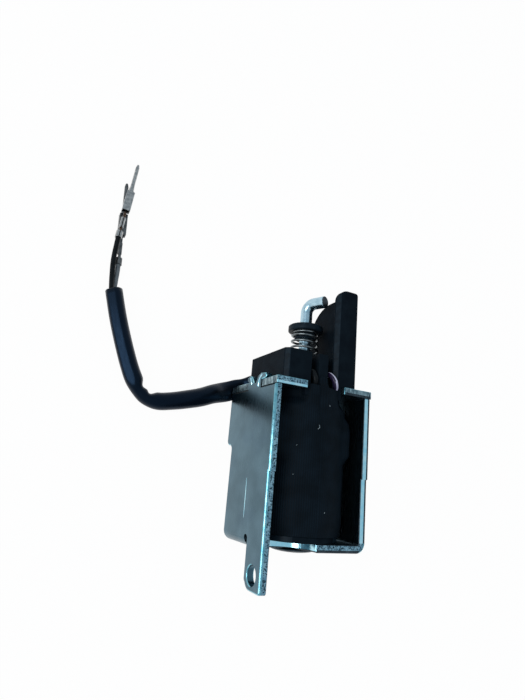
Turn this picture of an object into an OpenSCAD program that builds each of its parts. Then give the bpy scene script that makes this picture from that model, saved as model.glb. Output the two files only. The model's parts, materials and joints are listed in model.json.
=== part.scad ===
// Shift lock solenoid: a pull-type coil in an open steel yoke, with a hooked plunger and a sleeved lead.
// Millimetres. Each module is drawn upright about the plunger: Y runs along the plunger from the
// bottom plate to the hook, Z points out of the open front. lie_down() then lays the part on its back.

/* [Yoke] */
// Thickness of the bent yoke strip
sheet_t = 1.8; // [1.2:0.1:2.4]
// Height of the walls, from the underside of the bottom plate to the seat of the top plate
wall_h = 36; // [32:0.5:44]
// Depth of the bottom plate and of the lower half of the walls
lower_d = 20.6; // [18:0.2:24]
// How far the upper half of the walls reaches behind the lower half
upper_back = 2.9; // [1:0.1:4]
// How far the upper half of the walls reaches in front of the lower half
upper_front = 0.4; // [0.2:0.1:1.5]
// Height of the step in the walls' back edge
back_step_h = 22.5; // [18:0.5:26]
// Height of the step in the walls' front edge
front_step_h = 16.6; // [12:0.2:20]
// Radius of the rounded corners of the back step
step_r = 1.3; // [0.4:0.1:1.4]
// Inner radius of the strip's two bends
bend_r = 0.5; // [0.2:0.1:1.5]

/* [Mounting tab] */
// Length of the tab below the bottom plate
tab_l = 8.4; // [7:0.2:14]
// Width of the tab
tab_w = 7.3; // [6:0.1:9]
// Diameter of the tab's hole
tab_hole_d = 4.2; // [3:0.1:5]
// Distance from the tab's end to the centre of its hole
tab_hole_end = 3.2; // [2.8:0.1:4]
// Distance from the tab's front edge to the centre of its hole
tab_hole_in = 4; // [3:0.1:4.4]
// Radius of the tab's rear corner, and of the corner it was cut out of
tab_corner_r = 2.5; // [1:0.1:3]
// Width of the relief cut beside the tab
relief_w = 1.7; // [1:0.1:2.5]
// Length of plate that the cut-out runs on past the tab's own length
cutout_extra = 5.3; // [3:0.1:6]
// Radius of the cut-out's inner corner
cutout_r = 7.2; // [1:0.1:7.3]

/* [Top plate] */
// Thickness of the top plate
plate_t = 1.8; // [1.2:0.1:2.4]
// How far the plate stands out in front of the walls
plate_front = 0.5; // [0:0.1:1.5]
// How far the plate stands out behind the walls
plate_back = 0.3; // [0:0.1:0.6]
// How far the plate's sides lie inside the walls' outer faces
plate_inset = 0.15; // [0:0.05:0.5]
// Width of the wall tenons
tenon_w = 7; // [5:0.2:9]
// Height of the split tenon horns above the plate
horn_rise = 1.6; // [1:0.1:2.5]
// How far the front horn is spread over the plate
horn_front = 2.3; // [1:0.1:3]
// How far the rear horn is spread over the plate
horn_rear = 0.8; // [0.4:0.1:2]

/* [Coil] */
// Outer diameter of the taped coil
coil_d = 22; // [19:0.2:26]
// Thickness of the tape wrap
tape_t = 0.5; // [0.3:0.1:0.8]
// How far the winding narrows at its upper end
coil_taper = 1.3; // [0.5:0.1:2]
// Diameter of the lead splices under the tape
splice_d = 1.4; // [1:0.1:1.8]
// Length of the lead splices
splice_l = 7; // [4:0.5:10]
// Height of the middle of the splices
splice_h = 25.5; // [18:0.5:28]

/* [Bobbin] */
// Thickness of the bobbin's flanges
flange_t = 1.4; // [1:0.1:2]
// Wall of the bobbin's core tube
bobbin_wall = 0.9; // [0.6:0.1:1.4]
// Reach of the boss to the right of the plunger
boss_right = 9.2; // [9:0.1:10]
// Reach of the boss behind the plunger
boss_rear = 8.9; // [8:0.1:10]
// Reach of the boss in front of the plunger
boss_front = 10; // [9.5:0.1:10.4]
// Height of the boss above the top plate
boss_h = 7.4; // [6:0.1:10]
// Thickness of the boss's roof over the armature
boss_roof = 2; // [1.5:0.1:3]
// Chamfer of the boss's and the tower's front edges
edge_chamfer = 1; // [0.4:0.1:1.4]
// Width of each lead slot
slot_w = 2.05; // [1.7:0.05:2.2]
// Width of the rib between the lead slots
rib_w = 2.7; // [2:0.1:3.2]
// Distance of the rib's middle to the left of the plunger
rib_off = 0.3; // [0:0.1:0.8]

/* [Guide tower] */
// Height of the tower above the top plate
tower_h = 25.4; // [20:0.2:32]
// Width of the tower's front flange
tower_w = 6.1; // [5:0.1:6.2]
// Thickness of the tower's front flange
tower_t = 1.7; // [1.2:0.1:2.4]
// Radius of the tower's inner top corner
tower_r = 3; // [1:0.1:4]
// Thickness of the fin behind the tower
fin_t = 2.2; // [1.4:0.1:2.4]
// How far the fin's top lies below the tower's top
fin_drop = 1.8; // [0.5:0.1:4]
// Radius of the fin's rounded rear shoulder
fin_r = 9.3; // [5:0.1:12]
// How far the fin reaches behind the plunger
fin_rear = 5.9; // [3:0.1:8]

/* [Plunger] */
// Travel of the plunger
stroke = 3.6; // [2:0.1:4]
// Diameter of the armature
armature_d = 7.7; // [6.5:0.1:8.4]
// Wall of the brass guide tube
guide_t = 0.3; // [0.2:0.05:0.5]
// Height of the fixed core above the bottom plate
core_h = 14.2; // [10:0.2:17]
// Diameter of the fixed core's rivet
rivet_d = 5; // [3:0.2:6]
// Diameter of the hook rod
rod_d = 3.1; // [2:0.1:4]
// Length of rod pressed into the armature
rod_grip = 8; // [5:0.5:12]
// Height of the hook's leg above the collar
hook_rise = 6.2; // [5:0.05:9]
// Length of the hook's leg, from the rod's axis to its end
hook_leg = 5.65; // [4:0.05:6]
// Bend radius of the hook, at the rod's axis
hook_r = 2.4; // [1.6:0.1:3]
// Angle of the hook's leg, from the right towards the front
hook_turn = 66; // [50:1:90]

/* [Spring and collar] */
// Diameter of the collar
collar_d = 9.1; // [8.2:0.1:10]
// Thickness of the collar's flange
collar_t = 1.65; // [1:0.05:2.5]
// Length of the collar's hub inside the spring
hub_l = 2; // [1:0.1:3]
// Length of the spring, from the boss to the collar
spring_l = 7.7; // [7.3:0.1:11]
// Outer diameter of the spring
spring_d = 7.4; // [6:0.1:8]
// Diameter of the spring wire
spring_wire = 0.6; // [0.4:0.05:0.7]
// Number of turns of the spring
spring_turns = 5; // [4:0.5:5]

/* [Leads] */
// Diameter of the insulated leads
wire_d = 1.3; // [0.9:0.1:1.4]
// Diameter of the sleeve
sleeve_d = 4.3; // [3.6:0.1:4.8]
// Diameter of the terminals' pins
pin_d = 1.05; // [0.6:0.05:1.2]
// Length of the terminals' pins
pin_l = 10.5; // [6:0.5:14]

/* [Clearances] */
// Gap between the coil and each wall
coil_gap = 0.7; // [0.3:0.1:2]
// Gap on each side of the neck in the plate's slot
neck_gap = 0.1; // [0.05:0.05:0.4]
// Gap between the boss and the left wall's tenon
boss_gap = 0.9; // [0.3:0.1:2]
// Gap on each side of a tenon in the plate's notch
tenon_gap = 0.05; // [0:0.05:0.2]
// Radial clearance of the armature in its guide tube, and of the rod in the boss
slide_gap = 0.1; // [0.05:0.01:0.1]
// Gap that the plunger keeps from each of its stops
stop_gap = 0.1; // [0.05:0.05:0.3]
// Gap between the collar and the fin
fin_gap = 0.55; // [0.3:0.05:1.2]
// Gap between the collar's hub and the spring
hub_gap = 0.3; // [0.2:0.1:0.6]

/* [Hidden] */
$fn = 64;
cut = 1;

frame_w = coil_d + 2 * (coil_gap + sheet_t);
half_w = frame_w / 2;
boss_left = half_w - sheet_t - boss_gap;
half_d = lower_d / 2;
wall_back = half_d + upper_back;
wall_front = half_d + upper_front;
bend_out = bend_r + sheet_t;
tab_rear = half_d - tab_w;
relief_rear = tab_rear - relief_w;
cutout_end = -half_w + tab_l + cutout_extra;

// The part lies on the bottom plate's back edge, with the flattened sleeve under the top plate
lie_gap = 0.26;
lie_angle = atan((upper_back + lie_gap) / back_step_h);
lift = half_d * cos(lie_angle);
tab_toe_r = sheet_t / 3;
near_y = (tab_toe_r - tab_l) * cos(lie_angle) - (half_d - tab_toe_r) * sin(lie_angle) - tab_toe_r;

plate_top = wall_h + plate_t;
boss_top = plate_top + boss_h;
roof_low = boss_top - boss_roof;
notch_w = tenon_w + 2 * tenon_gap;

guide_r = armature_d / 2 + slide_gap;
bore_r = guide_r + guide_t;
tube_r = bore_r + bobbin_wall;
neck_w = 2 * tube_r;
winding_r = coil_d / 2 - tape_t;
winding_low = sheet_t + flange_t;
winding_high = wall_h - flange_t;
lower_flange_r = winding_r - 0.1;
upper_flange_r = winding_r - coil_taper;
shoulder = 2.6;
foot_taper = 0.4;

slot_left = -rib_off - rib_w / 2 - slot_w;
slot_right = -rib_off + rib_w / 2;
slot_depth = tube_r + 0.1;
channel_x = tube_r + 2.3;
channel_w = wire_d + 0.5;
channel_h = wire_d + 0.7;

tower_left = boss_right - tower_w;
tower_top = plate_top + tower_h;
fin_left = collar_d / 2 + fin_gap;
fin_top = tower_top - fin_drop;
far_y = tower_top * cos(lie_angle) - (boss_front - tower_t) * sin(lie_angle);
mid_y = (near_y + far_y) / 2;

core_top = sheet_t + core_h;
core_washer_t = 0.6;
stop_washer_t = 1;
armature_low = core_top + core_washer_t + stroke + stop_gap;
armature_top = roof_low - stop_washer_t - stop_gap;
collar_low = boss_top + spring_l;
collar_top = collar_low + collar_t;
hub_r = spring_d / 2 - spring_wire - hub_gap;
hook_y = collar_top + hook_rise;

rivet_head_d = rivet_d + 2.4;
rivet_head_t = 0.9;
splice_angles = [148, 38];
splice_seat = 0.15;
bump_r = splice_d / 2 + tape_t;

// A lead runs from under the tape up its slot, through the boss's channel on side s and out at the rear
lead_y = plate_top + channel_h / 2;
lead_z = slot_depth + channel_w / 2;
lead_x = channel_x;
lead_rear = -boss_rear - wire_d / 2;
function lead_front(s, x) = [[x, winding_high + 0.1, boss_front - 0.7], [x, wall_h + 1, boss_front - 0.7],
    [x, plate_top + 1.5, boss_front - 0.4], [x, plate_top + 2.8, boss_front - 1.4],
    [x, plate_top + 2.7, lead_z + 1.3], [x + s * 0.3, lead_y + 0.4, lead_z + 0.2],
    [x + s * 1.6, lead_y, lead_z], [s * (lead_x - 1.3), lead_y, lead_z],
    [s * (lead_x - 0.2), lead_y, lead_z - 0.8], [s * lead_x, lead_y, lead_z - 2.3],
    [s * lead_x, lead_y, 2 - boss_rear]];
lead_black_path = concat(lead_front(-1, slot_left + slot_w / 2), [[-lead_x, lead_y + 0.4, lead_rear],
    [1 - lead_x, lead_y + 1.2, lead_rear - 1.3]]);
lead_purple_path = concat(lead_front(1, slot_right + slot_w / 2), [[lead_x, lead_y, lead_rear + 0.2],
    [lead_x - 1.6, lead_y, lead_rear - 1.1], [0, lead_y + 0.2, lead_rear - 1.4],
    [3 - lead_x, lead_y + 0.8, lead_rear - 1.5], [1.4 - lead_x, lead_y + 1.8, lead_rear - 2.5]]);

// Sleeve route on the table, measured from the top plate: from the rear of the boss, flat under the plate's
// back edge, out to the left, round a pinched bend and away along the part
sleeve_y = plate_top * cos(lie_angle);
under_plate = wall_h * sin(lie_angle) - (wall_back + plate_back) * cos(lie_angle) + lift;
sleeve_r = sleeve_d / 2;
squeeze = min(0.38 * sleeve_r, under_plate / 2 - 0.1);
lead_ends = (lead_black_path[len(lead_black_path) - 1] + lead_purple_path[len(lead_purple_path) - 1]) / 2;
sleeve_path = concat([laid(lead_ends) + [0.6, -sleeve_y, 0.3]], [[-7.2, 4.7, 3.2], [-9.2, 3.5, 1.15],
    [-11.5, 2.2, squeeze + 0.05], [-13.5, 1.3, squeeze + 0.05], [-16, 0.2, 1.2], [-19, -1, 1.9],
    [-22.5, -2.5, sleeve_r], [-26.5, -3.6, sleeve_r], [-30, -4.4, sleeve_r], [-33.5, -4.9, sleeve_r],
    [-36.4, -4.4, 1.9], [-38.3, -2.8, 1.9], [-39.8, -0.4, sleeve_r], [-41.4, 3, sleeve_r],
    [-43.5, 8.6, sleeve_r], [-45.6, 15, sleeve_r], [-47.5, 22, sleeve_r]]);
flat = squeeze / sleeve_r;
sleeve_shape = sleeve_r * [[0.95, 0.8], [1, 0.6], [1.1, 0.42], [1.25, flat], [1.25, flat], [1.2, 0.55],
    [1.05, 0.85], [1, 1], [1, 1], [1, 1], [1, 1], [0.8, 0.88], [0.8, 0.88], [1, 1], [1, 1], [1, 1], [1, 1],
    [1, 1]];

// The two wire ends past the sleeve: each runs to its terminal's crimp, and the black one lies on top
crimp_l = 2;
barrel_l = 3.4;
crimp_gap = 1.3;
box_gap = 2.4;
box_l = 6.6;
box_w = 2.1;
box_h = 1.6;
shoulder_l = 2.6;
metal_t = 0.25;
strand_d = 0.7;
barrel_y = crimp_l + crimp_gap;
box_y = barrel_y + barrel_l + box_gap;
upper_crimp = [-48.57, 36.9, 3.27];
upper_turn = [-2.6, 0, -6];
lower_crimp = [-47.25, 30.2, wire_d / 2 + metal_t + 0.12];
lower_turn = [-0.4, 180, 1.6];
function ahead(turn) = [-sin(turn[2]), cos(turn[2]), sin(turn[0])];
tail_black_path = [[-48, 20.8, 2.3], [-48.2, 22.4, 2.15], [-48.55, 26, 1.6], [-48.75, 31, 2.05], upper_crimp,
    upper_crimp + crimp_l * ahead(upper_turn)];
tail_grey_path = [[-46.6, 20.8, 2.1], [-46.85, 22.4, 1.9], [-47.05, 25, 1.05], [-47.2, 28.2, 0.9],
    lower_crimp, lower_crimp + crimp_l * ahead(lower_turn)];

// Where a point of the upright part lies on the table
function laid(p) = [p[0], p[1] * cos(lie_angle) - p[2] * sin(lie_angle),
    p[1] * sin(lie_angle) + p[2] * cos(lie_angle) + lift];
function unit(v) = v / norm(v);
function flat_to(v, t) = unit(v - (v * t) * t);
function tangents(p) = [for (i = [0 : len(p) - 1]) unit(p[min(i + 1, len(p) - 1)] - p[max(i - 1, 0)])];
function carried(t, v, i = 0) = i == len(t) ? []
    : let(n = flat_to(v, t[i])) concat([n], carried(t, n, i + 1));
function level(t) = [for (v = t) unit(cross([0, 0, 1], v))];
function rings(p, t, n, shape, sides) = [for (i = [0 : len(p) - 1]) for (j = [0 : sides - 1])
    let(a = 360 * j / sides)
        p[i] + shape[i][0] * cos(a) * n[i] + shape[i][1] * sin(a) * cross(t[i], n[i])];
function skin(count, sides) = concat([[for (j = [0 : sides - 1]) j]],
    [for (i = [0 : count - 2]) for (j = [0 : sides - 1]) let(k = (j + 1) % sides)
        [i * sides + j, (i + 1) * sides + k, i * sides + k]],
    [for (i = [0 : count - 2]) for (j = [0 : sides - 1]) let(k = (j + 1) % sides)
        [i * sides + j, (i + 1) * sides + j, (i + 1) * sides + k]],
    [[for (j = [sides - 1 : -1 : 0]) (count - 1) * sides + j]]);

// A tube along a path: aside gives each ring's sideways direction, shape its half width and half height
module swept(path, aside, shape, sides) {
    polyhedron(rings(path, tangents(path), aside, shape, sides), skin(len(path), sides), convexity = 6);
}

module round_wire(path, d, first) {
    swept(path, carried(tangents(path), first), [for (p = path) [d / 2, d / 2]], 8);
}

// Lays the upright part on its back, with its middle over the origin
module lie_down() {
    translate([0, -mid_y, lift]) rotate([lie_angle, 0, 0]) children();
}

// Places what is measured along the table from the top plate
module on_table() {
    translate([0, sleeve_y - mid_y, 0]) children();
}

// A cylinder or revolved form that runs up the plunger's axis from height y
module up(y) {
    translate([0, y, 0]) rotate([-90, 0, 0]) children();
}

// An outline in X and Z, extruded up from height y
module slab(y, t) {
    translate([0, y + t, 0]) rotate([90, 0, 0]) linear_extrude(t) children();
}

// An outline in Y and Z, extruded to the right from x
module side(x, t) {
    translate([x, 0, 0]) rotate([90, 0, 90]) linear_extrude(t) children();
}

// What a rounded corner of radius r takes off a square corner, or adds to an inner one
module corner(r) {
    difference() {
        square(r);
        translate([r, r]) circle(r);
    }
}

module strip_section() {
    difference() {
        translate([-half_w, 0]) square([frame_w, wall_h]);
        difference() {
            translate([sheet_t - half_w, sheet_t]) square([frame_w - 2 * sheet_t, wall_h]);
            for (s = [-1, 1]) translate([s * (half_w - sheet_t), sheet_t])
                mirror([s > 0 ? 1 : 0, 0]) corner(bend_r);
        }
        for (s = [-1, 1]) translate([s * half_w, 0]) mirror([s > 0 ? 1 : 0, 0]) corner(bend_out);
    }
}

// The walls' outline from the side: the upper half is deeper than the lower half
module wall_outline() {
    difference() {
        union() {
            translate([-cut, -half_d]) square([wall_h + cut, lower_d]);
            translate([back_step_h, -wall_back]) square([wall_h - back_step_h, wall_back]);
            translate([front_step_h, 0]) square([wall_h - front_step_h, wall_front]);
            translate([back_step_h, -half_d]) mirror([1, 0]) mirror([0, 1]) corner(step_r);
        }
        translate([back_step_h, -wall_back]) corner(step_r);
    }
}

// A wall tenon, split by the staking tool into two horns that lie over the plate
module tenon_outline() {
    half = tenon_w / 2;
    polygon([[wall_h - cut, -half], [plate_top, -half], [plate_top + 0.3, -half - horn_rear],
        [plate_top + 0.75 * horn_rise, -half - 0.8 * horn_rear], [plate_top + horn_rise, -half + 0.7],
        [plate_top + 0.8 * horn_rise, -half + 1.7], [plate_top - 0.4, -0.5], [plate_top - 0.4, 0.5],
        [plate_top + 0.7 * horn_rise, half - 1.9], [plate_top + horn_rise, half - 0.6],
        [plate_top + 0.85 * horn_rise, half + 0.75 * horn_front],
        [plate_top + 0.4 * horn_rise, half + horn_front],
        [plate_top + 0.15 * horn_rise, half + 0.85 * horn_front], [plate_top, half], [wall_h - cut, half]]);
}

module tab_outline() {
    difference() {
        translate([-tab_l, tab_rear]) square([tab_l + bend_out, tab_w]);
        translate([-tab_l, tab_rear]) corner(tab_corner_r);
        translate([-tab_l, half_d]) mirror([0, 1]) corner(tab_toe_r);
        translate([-tab_l + tab_hole_end, half_d - tab_hole_in]) circle(d = tab_hole_d);
    }
}

// The outline that the tab left open in the bottom plate, from x to its rounded end
module cutout_outline(x) {
    difference() {
        translate([x, tab_rear]) square([cutout_end - x, tab_w + cut]);
        translate([cutout_end, tab_rear]) mirror([1, 0]) corner(cutout_r);
    }
}

// The relief cut behind the tab, from x through the bend to its rounded corner in the bottom plate
module relief_outline(x) {
    relief_end = bend_out - half_w + relief_w / 2;
    difference() {
        translate([x, relief_rear]) square([relief_end - x, relief_w + cut]);
        translate([relief_end, relief_rear]) mirror([1, 0]) corner(relief_w / 2);
    }
}

module yoke_frame() {
    color("#8fa6b0") {
        difference() {
            intersection() {
                translate([0, 0, -wall_back]) linear_extrude(wall_back + wall_front) strip_section();
                side(-half_w - cut, frame_w + 2 * cut) wall_outline();
            }
            slab(-cut, sheet_t + cut) {
                cutout_outline(-half_w - cut);
                relief_outline(-half_w - cut);
            }
            slab(-cut, bend_out + cut) {
                cutout_outline(sheet_t - half_w);
                relief_outline(sheet_t - half_w);
            }
            translate([-half_w - cut, sheet_t, relief_rear + relief_w / 2]) rotate([0, 90, 0])
                cylinder(h = sheet_t + 2 * cut, d = relief_w);
            up(-cut) cylinder(h = sheet_t + 2 * cut, d = rivet_d);
        }
        side(-half_w, sheet_t) tab_outline();
        for (x = [-half_w, half_w - sheet_t]) side(x, sheet_t) tenon_outline();
    }
}

module top_plate() {
    mouth = neck_w + 2 * neck_gap;
    color("#9fb4bc") slab(wall_h, plate_t) difference() {
        translate([plate_inset - half_w, -wall_back - plate_back])
            square([frame_w - 2 * plate_inset, wall_back + plate_back + wall_front + plate_front]);
        circle(d = mouth);
        translate([-mouth / 2, 0]) square([mouth, wall_front + plate_front + cut]);
        for (s = [-1, 1]) translate([s * half_w, 0])
            square([2 * sheet_t + 2 * tenon_gap, notch_w], center = true);
    }
}

// The neck's outline fills the plate's horseshoe slot
module neck_outline() {
    circle(d = neck_w);
    translate([-neck_w / 2, 0]) square([neck_w, boss_front]);
}

module boss_outline() {
    difference() {
        translate([-boss_left, -boss_rear]) square([boss_left + boss_right, boss_rear + boss_front]);
        translate([-boss_left, boss_front]) rotate(45) square(edge_chamfer * sqrt(2), center = true);
        for (s = [0, 1]) translate([s == 0 ? -boss_left : boss_right, -boss_rear])
            mirror([s, 0]) corner(edge_chamfer);
    }
}

// The tower's front flange from the front: one large and one small top corner
module tower_outline() {
    difference() {
        translate([tower_left, plate_top]) square([tower_w, tower_h]);
        translate([tower_left, tower_top]) mirror([0, 1]) corner(tower_r);
        translate([boss_right, tower_top]) mirror([1, 0]) mirror([0, 1]) corner(tower_r / 4);
    }
}

// The fin from the side: level behind the flange, then rounded down to the boss
module fin_outline() {
    difference() {
        translate([plate_top + cut, -fin_rear])
            square([fin_top - plate_top - cut, boss_front + fin_rear - tower_t / 2]);
        translate([fin_top, -fin_rear]) mirror([1, 0]) corner(fin_r);
    }
}

// The channels in the underside of the boss that take the leads from the slots to the rear
module lead_channels() {
    for (s = [-1, 1]) {
        reach = channel_x + channel_w / 2;
        translate([s > 0 ? 0 : -reach, plate_top - cut, slot_depth])
            cube([reach, channel_h + cut, channel_w]);
        translate([s * channel_x - channel_w / 2, plate_top - cut, -boss_rear - cut])
            cube([channel_w, channel_h + cut, boss_rear + cut + slot_depth + channel_w]);
    }
}

module bobbin() {
    color("#16191d") difference() {
        union() {
            up(sheet_t) cylinder(h = roof_low - sheet_t, r = tube_r);
            up(sheet_t) cylinder(h = flange_t, r = lower_flange_r);
            up(winding_high) cylinder(h = flange_t, r = upper_flange_r);
            slab(wall_h - flange_t, flange_t + plate_t) neck_outline();
            slab(plate_top, boss_h) boss_outline();
            translate([0, 0, boss_front - tower_t]) linear_extrude(tower_t) tower_outline();
            side(fin_left, fin_t) fin_outline();
        }
        up(sheet_t - cut) cylinder(h = roof_low - sheet_t + cut, r = bore_r);
        up(roof_low - cut) cylinder(h = boss_roof + 2 * cut, r = rod_d / 2 + slide_gap);
        for (x = [slot_left, slot_right]) translate([x, winding_high - cut, slot_depth])
            cube([slot_w, boss_top - winding_high + 2 * cut, boss_front]);
        lead_channels();
        translate([tower_left, plate_top + tower_h / 2, boss_front]) rotate([0, 45, 0])
            cube([edge_chamfer * sqrt(2), tower_h + cut, edge_chamfer * sqrt(2)], center = true);
    }
}

module coil_outline(grow) {
    polygon([[tube_r, winding_low], [winding_r + grow - foot_taper, winding_low],
        [winding_r + grow, winding_low + shoulder], [winding_r + grow, winding_high - shoulder],
        [upper_flange_r + grow, winding_high], [tube_r, winding_high]]);
}

module coil_winding() {
    color("#b0653a") rotate([-90, 0, 0]) rotate_extrude() coil_outline(0);
}

// The tape's section: one wrap over the winding and up round the upper flange
module tape_outline() {
    difference() {
        union() {
            coil_outline(tape_t);
            translate([tube_r, winding_high - cut])
                square([upper_flange_r + tape_t - tube_r, flange_t + cut]);
        }
        coil_outline(0);
        translate([0, winding_low - cut]) square([tube_r + cut, wall_h]);
        translate([0, winding_high]) square([upper_flange_r, flange_t + cut]);
    }
}

// Places a splice on the winding's side, at that angle from the right towards the front
module at_splice(angle) {
    rotate([0, -angle, 0]) translate([winding_r + splice_seat + splice_d / 2, splice_h - splice_l / 2, 0])
        rotate([-90, 0, 0]) children();
}

module capsule(r, l) {
    cylinder(h = l, r = r);
    for (z = [0, l]) translate([0, 0, z]) sphere(r);
}

// The tape round the coil, raised over the splices, with its end stuck up over the rib between the lead slots
module coil_tape() {
    color("#10151c") difference() {
        union() {
            rotate([-90, 0, 0]) rotate_extrude() tape_outline();
            difference() {
                for (a = splice_angles) at_splice(a) capsule(bump_r, splice_l);
                up(winding_low) cylinder(h = winding_high - winding_low, r = winding_r + tape_t / 2);
            }
            difference() {
                translate([-rib_off - rib_w / 2, winding_high - shoulder, boss_front])
                    cube([rib_w, plate_top + plate_t + shoulder - winding_high, tape_t]);
                rotate([-90, 0, 0]) rotate_extrude() coil_outline(tape_t / 2);
            }
        }
        slab(winding_high, flange_t + cut) neck_outline();
        for (a = splice_angles) at_splice(a) cylinder(h = splice_l, d = splice_d);
    }
}

module splice(angle) {
    color("#c98f5e") at_splice(angle) cylinder(h = splice_l, d = splice_d);
}

module guide_tube() {
    color("#c9a449") up(sheet_t) difference() {
        cylinder(h = roof_low - sheet_t, r = bore_r);
        translate([0, 0, -cut]) cylinder(h = roof_low + cut, r = guide_r);
    }
}

module fixed_core() {
    color("#9aa3a8") {
        up(sheet_t) cylinder(h = core_h, r = guide_r);
        up(-rivet_head_t) cylinder(h = rivet_head_t + sheet_t + cut, d = rivet_d);
        up(-rivet_head_t) cylinder(h = rivet_head_t, d1 = rivet_d, d2 = rivet_head_d);
    }
}

module core_washer() {
    color("#2c2c2e") up(core_top) difference() {
        cylinder(h = core_washer_t, r = armature_d / 2 - slide_gap);
        translate([0, 0, -cut]) cylinder(h = core_washer_t + 2 * cut, d = rod_d);
    }
}

module stop_washer() {
    color("#2c2c2e") up(roof_low - stop_washer_t) difference() {
        cylinder(h = stop_washer_t, r = guide_r);
        translate([0, 0, -cut]) cylinder(h = stop_washer_t + 2 * cut, r = rod_d / 2 + 3 * slide_gap);
    }
}

module armature() {
    color("#a9b2b6") up(armature_low) difference() {
        cylinder(h = armature_top - armature_low, d = armature_d);
        translate([0, 0, armature_top - armature_low - rod_grip]) cylinder(h = rod_grip + cut, d = rod_d);
    }
}

module hook_rod() {
    rod_low = armature_top - rod_grip;
    color("#b9cbd4") rotate([0, -hook_turn, 0]) {
        up(rod_low) cylinder(h = hook_y - hook_r - rod_low, d = rod_d);
        translate([hook_r, hook_y - hook_r, 0]) rotate([0, 0, 90]) rotate_extrude(angle = 90)
            translate([hook_r, 0]) circle(d = rod_d);
        translate([hook_r, hook_y, 0]) rotate([0, 90, 0]) cylinder(h = hook_leg - hook_r, d = rod_d);
    }
}

module spring_collar() {
    rim = collar_t / 8;
    color("#1d2429") rotate([-90, 0, 0]) rotate_extrude() polygon([[rod_d / 2, collar_low - hub_l],
        [hub_r - rim, collar_low - hub_l], [hub_r, collar_low - hub_l + rim], [hub_r, collar_low],
        [collar_d / 2 - rim, collar_low], [collar_d / 2, collar_low + rim], [collar_d / 2, collar_top - rim],
        [collar_d / 2 - rim, collar_top], [rod_d / 2, collar_top]]);
}

module return_spring() {
    r = (spring_d - spring_wire) / 2;
    steps = ceil(24 * spring_turns);
    rise = spring_l - spring_wire;
    path = [for (i = [0 : steps]) let(a = 360 * spring_turns * i / steps)
        [r * cos(a), boss_top + spring_wire / 2 + rise * i / steps, r * sin(a)]];
    color("#a5aeb2") round_wire(path, spring_wire, [0, 1, 0]);
}

module lead_black() {
    color("#15171a") round_wire(lead_black_path, wire_d, [1, 0, 0]);
}

module lead_purple() {
    color("#5b4a70") round_wire(lead_purple_path, wire_d, [1, 0, 0]);
}

module tail_black() {
    color("#1a1d20") round_wire(tail_black_path, wire_d, [1, 0, 0]);
}

module tail_grey() {
    color("#6d7378") round_wire(tail_grey_path, wire_d, [1, 0, 0]);
}

module cable_sleeve() {
    color("#171c22") on_table() swept(sleeve_path, level(tangents(sleeve_path)), sleeve_shape, 10);
}

// A crimped barrel: a rolled wall round the wire, with the seam where its two wings meet
module barrel(y, l, d) {
    translate([0, y, 0]) rotate([-90, 0, 0]) difference() {
        cylinder(h = l, d = d + 2 * metal_t);
        translate([0, 0, -cut]) cylinder(h = l + 2 * cut, d = d);
        translate([-metal_t / 2, -d, -cut]) cube([metal_t, d, l + 2 * cut]);
    }
}

// A crimp pin terminal along Y, with the wire entering at the origin
module pin_terminal() {
    floor_h = (wire_d - strand_d) / 2 + metal_t / 2;
    color("#9aa2a6") {
        barrel(0, crimp_l, wire_d);
        barrel(barrel_y, barrel_l, strand_d);
        difference() {
            translate([-wire_d / 4, 0, -wire_d / 2 - metal_t]) cube([wire_d / 2, box_y + metal_t, floor_h]);
            translate([0, -cut, 0]) rotate([-90, 0, 0]) cylinder(h = crimp_l + cut, d = wire_d);
        }
        difference() {
            translate([-box_w / 2, box_y, -box_h / 2]) cube([box_w, box_l, box_h]);
            translate([metal_t - box_w / 2, box_y - cut, metal_t - box_h / 2])
                cube([box_w - 2 * metal_t, box_l + cut - metal_t, box_h - 2 * metal_t]);
        }
        translate([0, box_y + box_l, 0]) rotate([-90, 0, 0]) {
            cylinder(h = shoulder_l, d1 = box_h, d2 = pin_d);
            cylinder(h = pin_l - pin_d, d = pin_d);
            translate([0, 0, pin_l - pin_d]) cylinder(h = pin_d, d1 = pin_d, d2 = 0.6 * pin_d);
        }
    }
}

// Sets a terminal down with its crimp at that point, turned by its dip, roll and heading
module at_crimp(place, turn) {
    on_table() translate(place) rotate([0, 0, turn[2]]) rotate([turn[0], 0, 0])
        rotate([0, turn[1], 0]) children();
}

// The bared copper ends, from the insulation through the barrel
module bared_end() {
    bare_l = crimp_gap + barrel_l + 0.8 * box_gap;
    translate([0, crimp_l, 0]) rotate([-90, 0, 0]) cylinder(h = bare_l, d = strand_d);
}

module strand_ends() {
    color("#b5713f") {
        at_crimp(upper_crimp, upper_turn) bared_end();
        at_crimp(lower_crimp, lower_turn) bared_end();
    }
}

lie_down() yoke_frame();
lie_down() top_plate();
lie_down() bobbin();
lie_down() coil_winding();
lie_down() coil_tape();
lie_down() splice(splice_angles[0]);  // splice_left
lie_down() splice(splice_angles[1]);  // splice_right
lie_down() guide_tube();
lie_down() fixed_core();
lie_down() core_washer();
lie_down() stop_washer();
lie_down() armature();
lie_down() hook_rod();
lie_down() spring_collar();
lie_down() return_spring();
lie_down() lead_black();
lie_down() lead_purple();
cable_sleeve();
on_table() tail_black();
on_table() tail_grey();
at_crimp(upper_crimp, upper_turn) pin_terminal();  // terminal_upper
at_crimp(lower_crimp, lower_turn) pin_terminal();  // terminal_lower
strand_ends();
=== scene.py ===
"""Dresses the shift lock solenoid: an open steel yoke, a taped coil, a hooked plunger and a sleeved lead."""

import json
import logging
import math
from dataclasses import dataclass
from enum import Enum, IntEnum
from typing import Any, Callable, Sequence

import bmesh
import bpy
from mathutils import Matrix, Vector, noise


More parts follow.
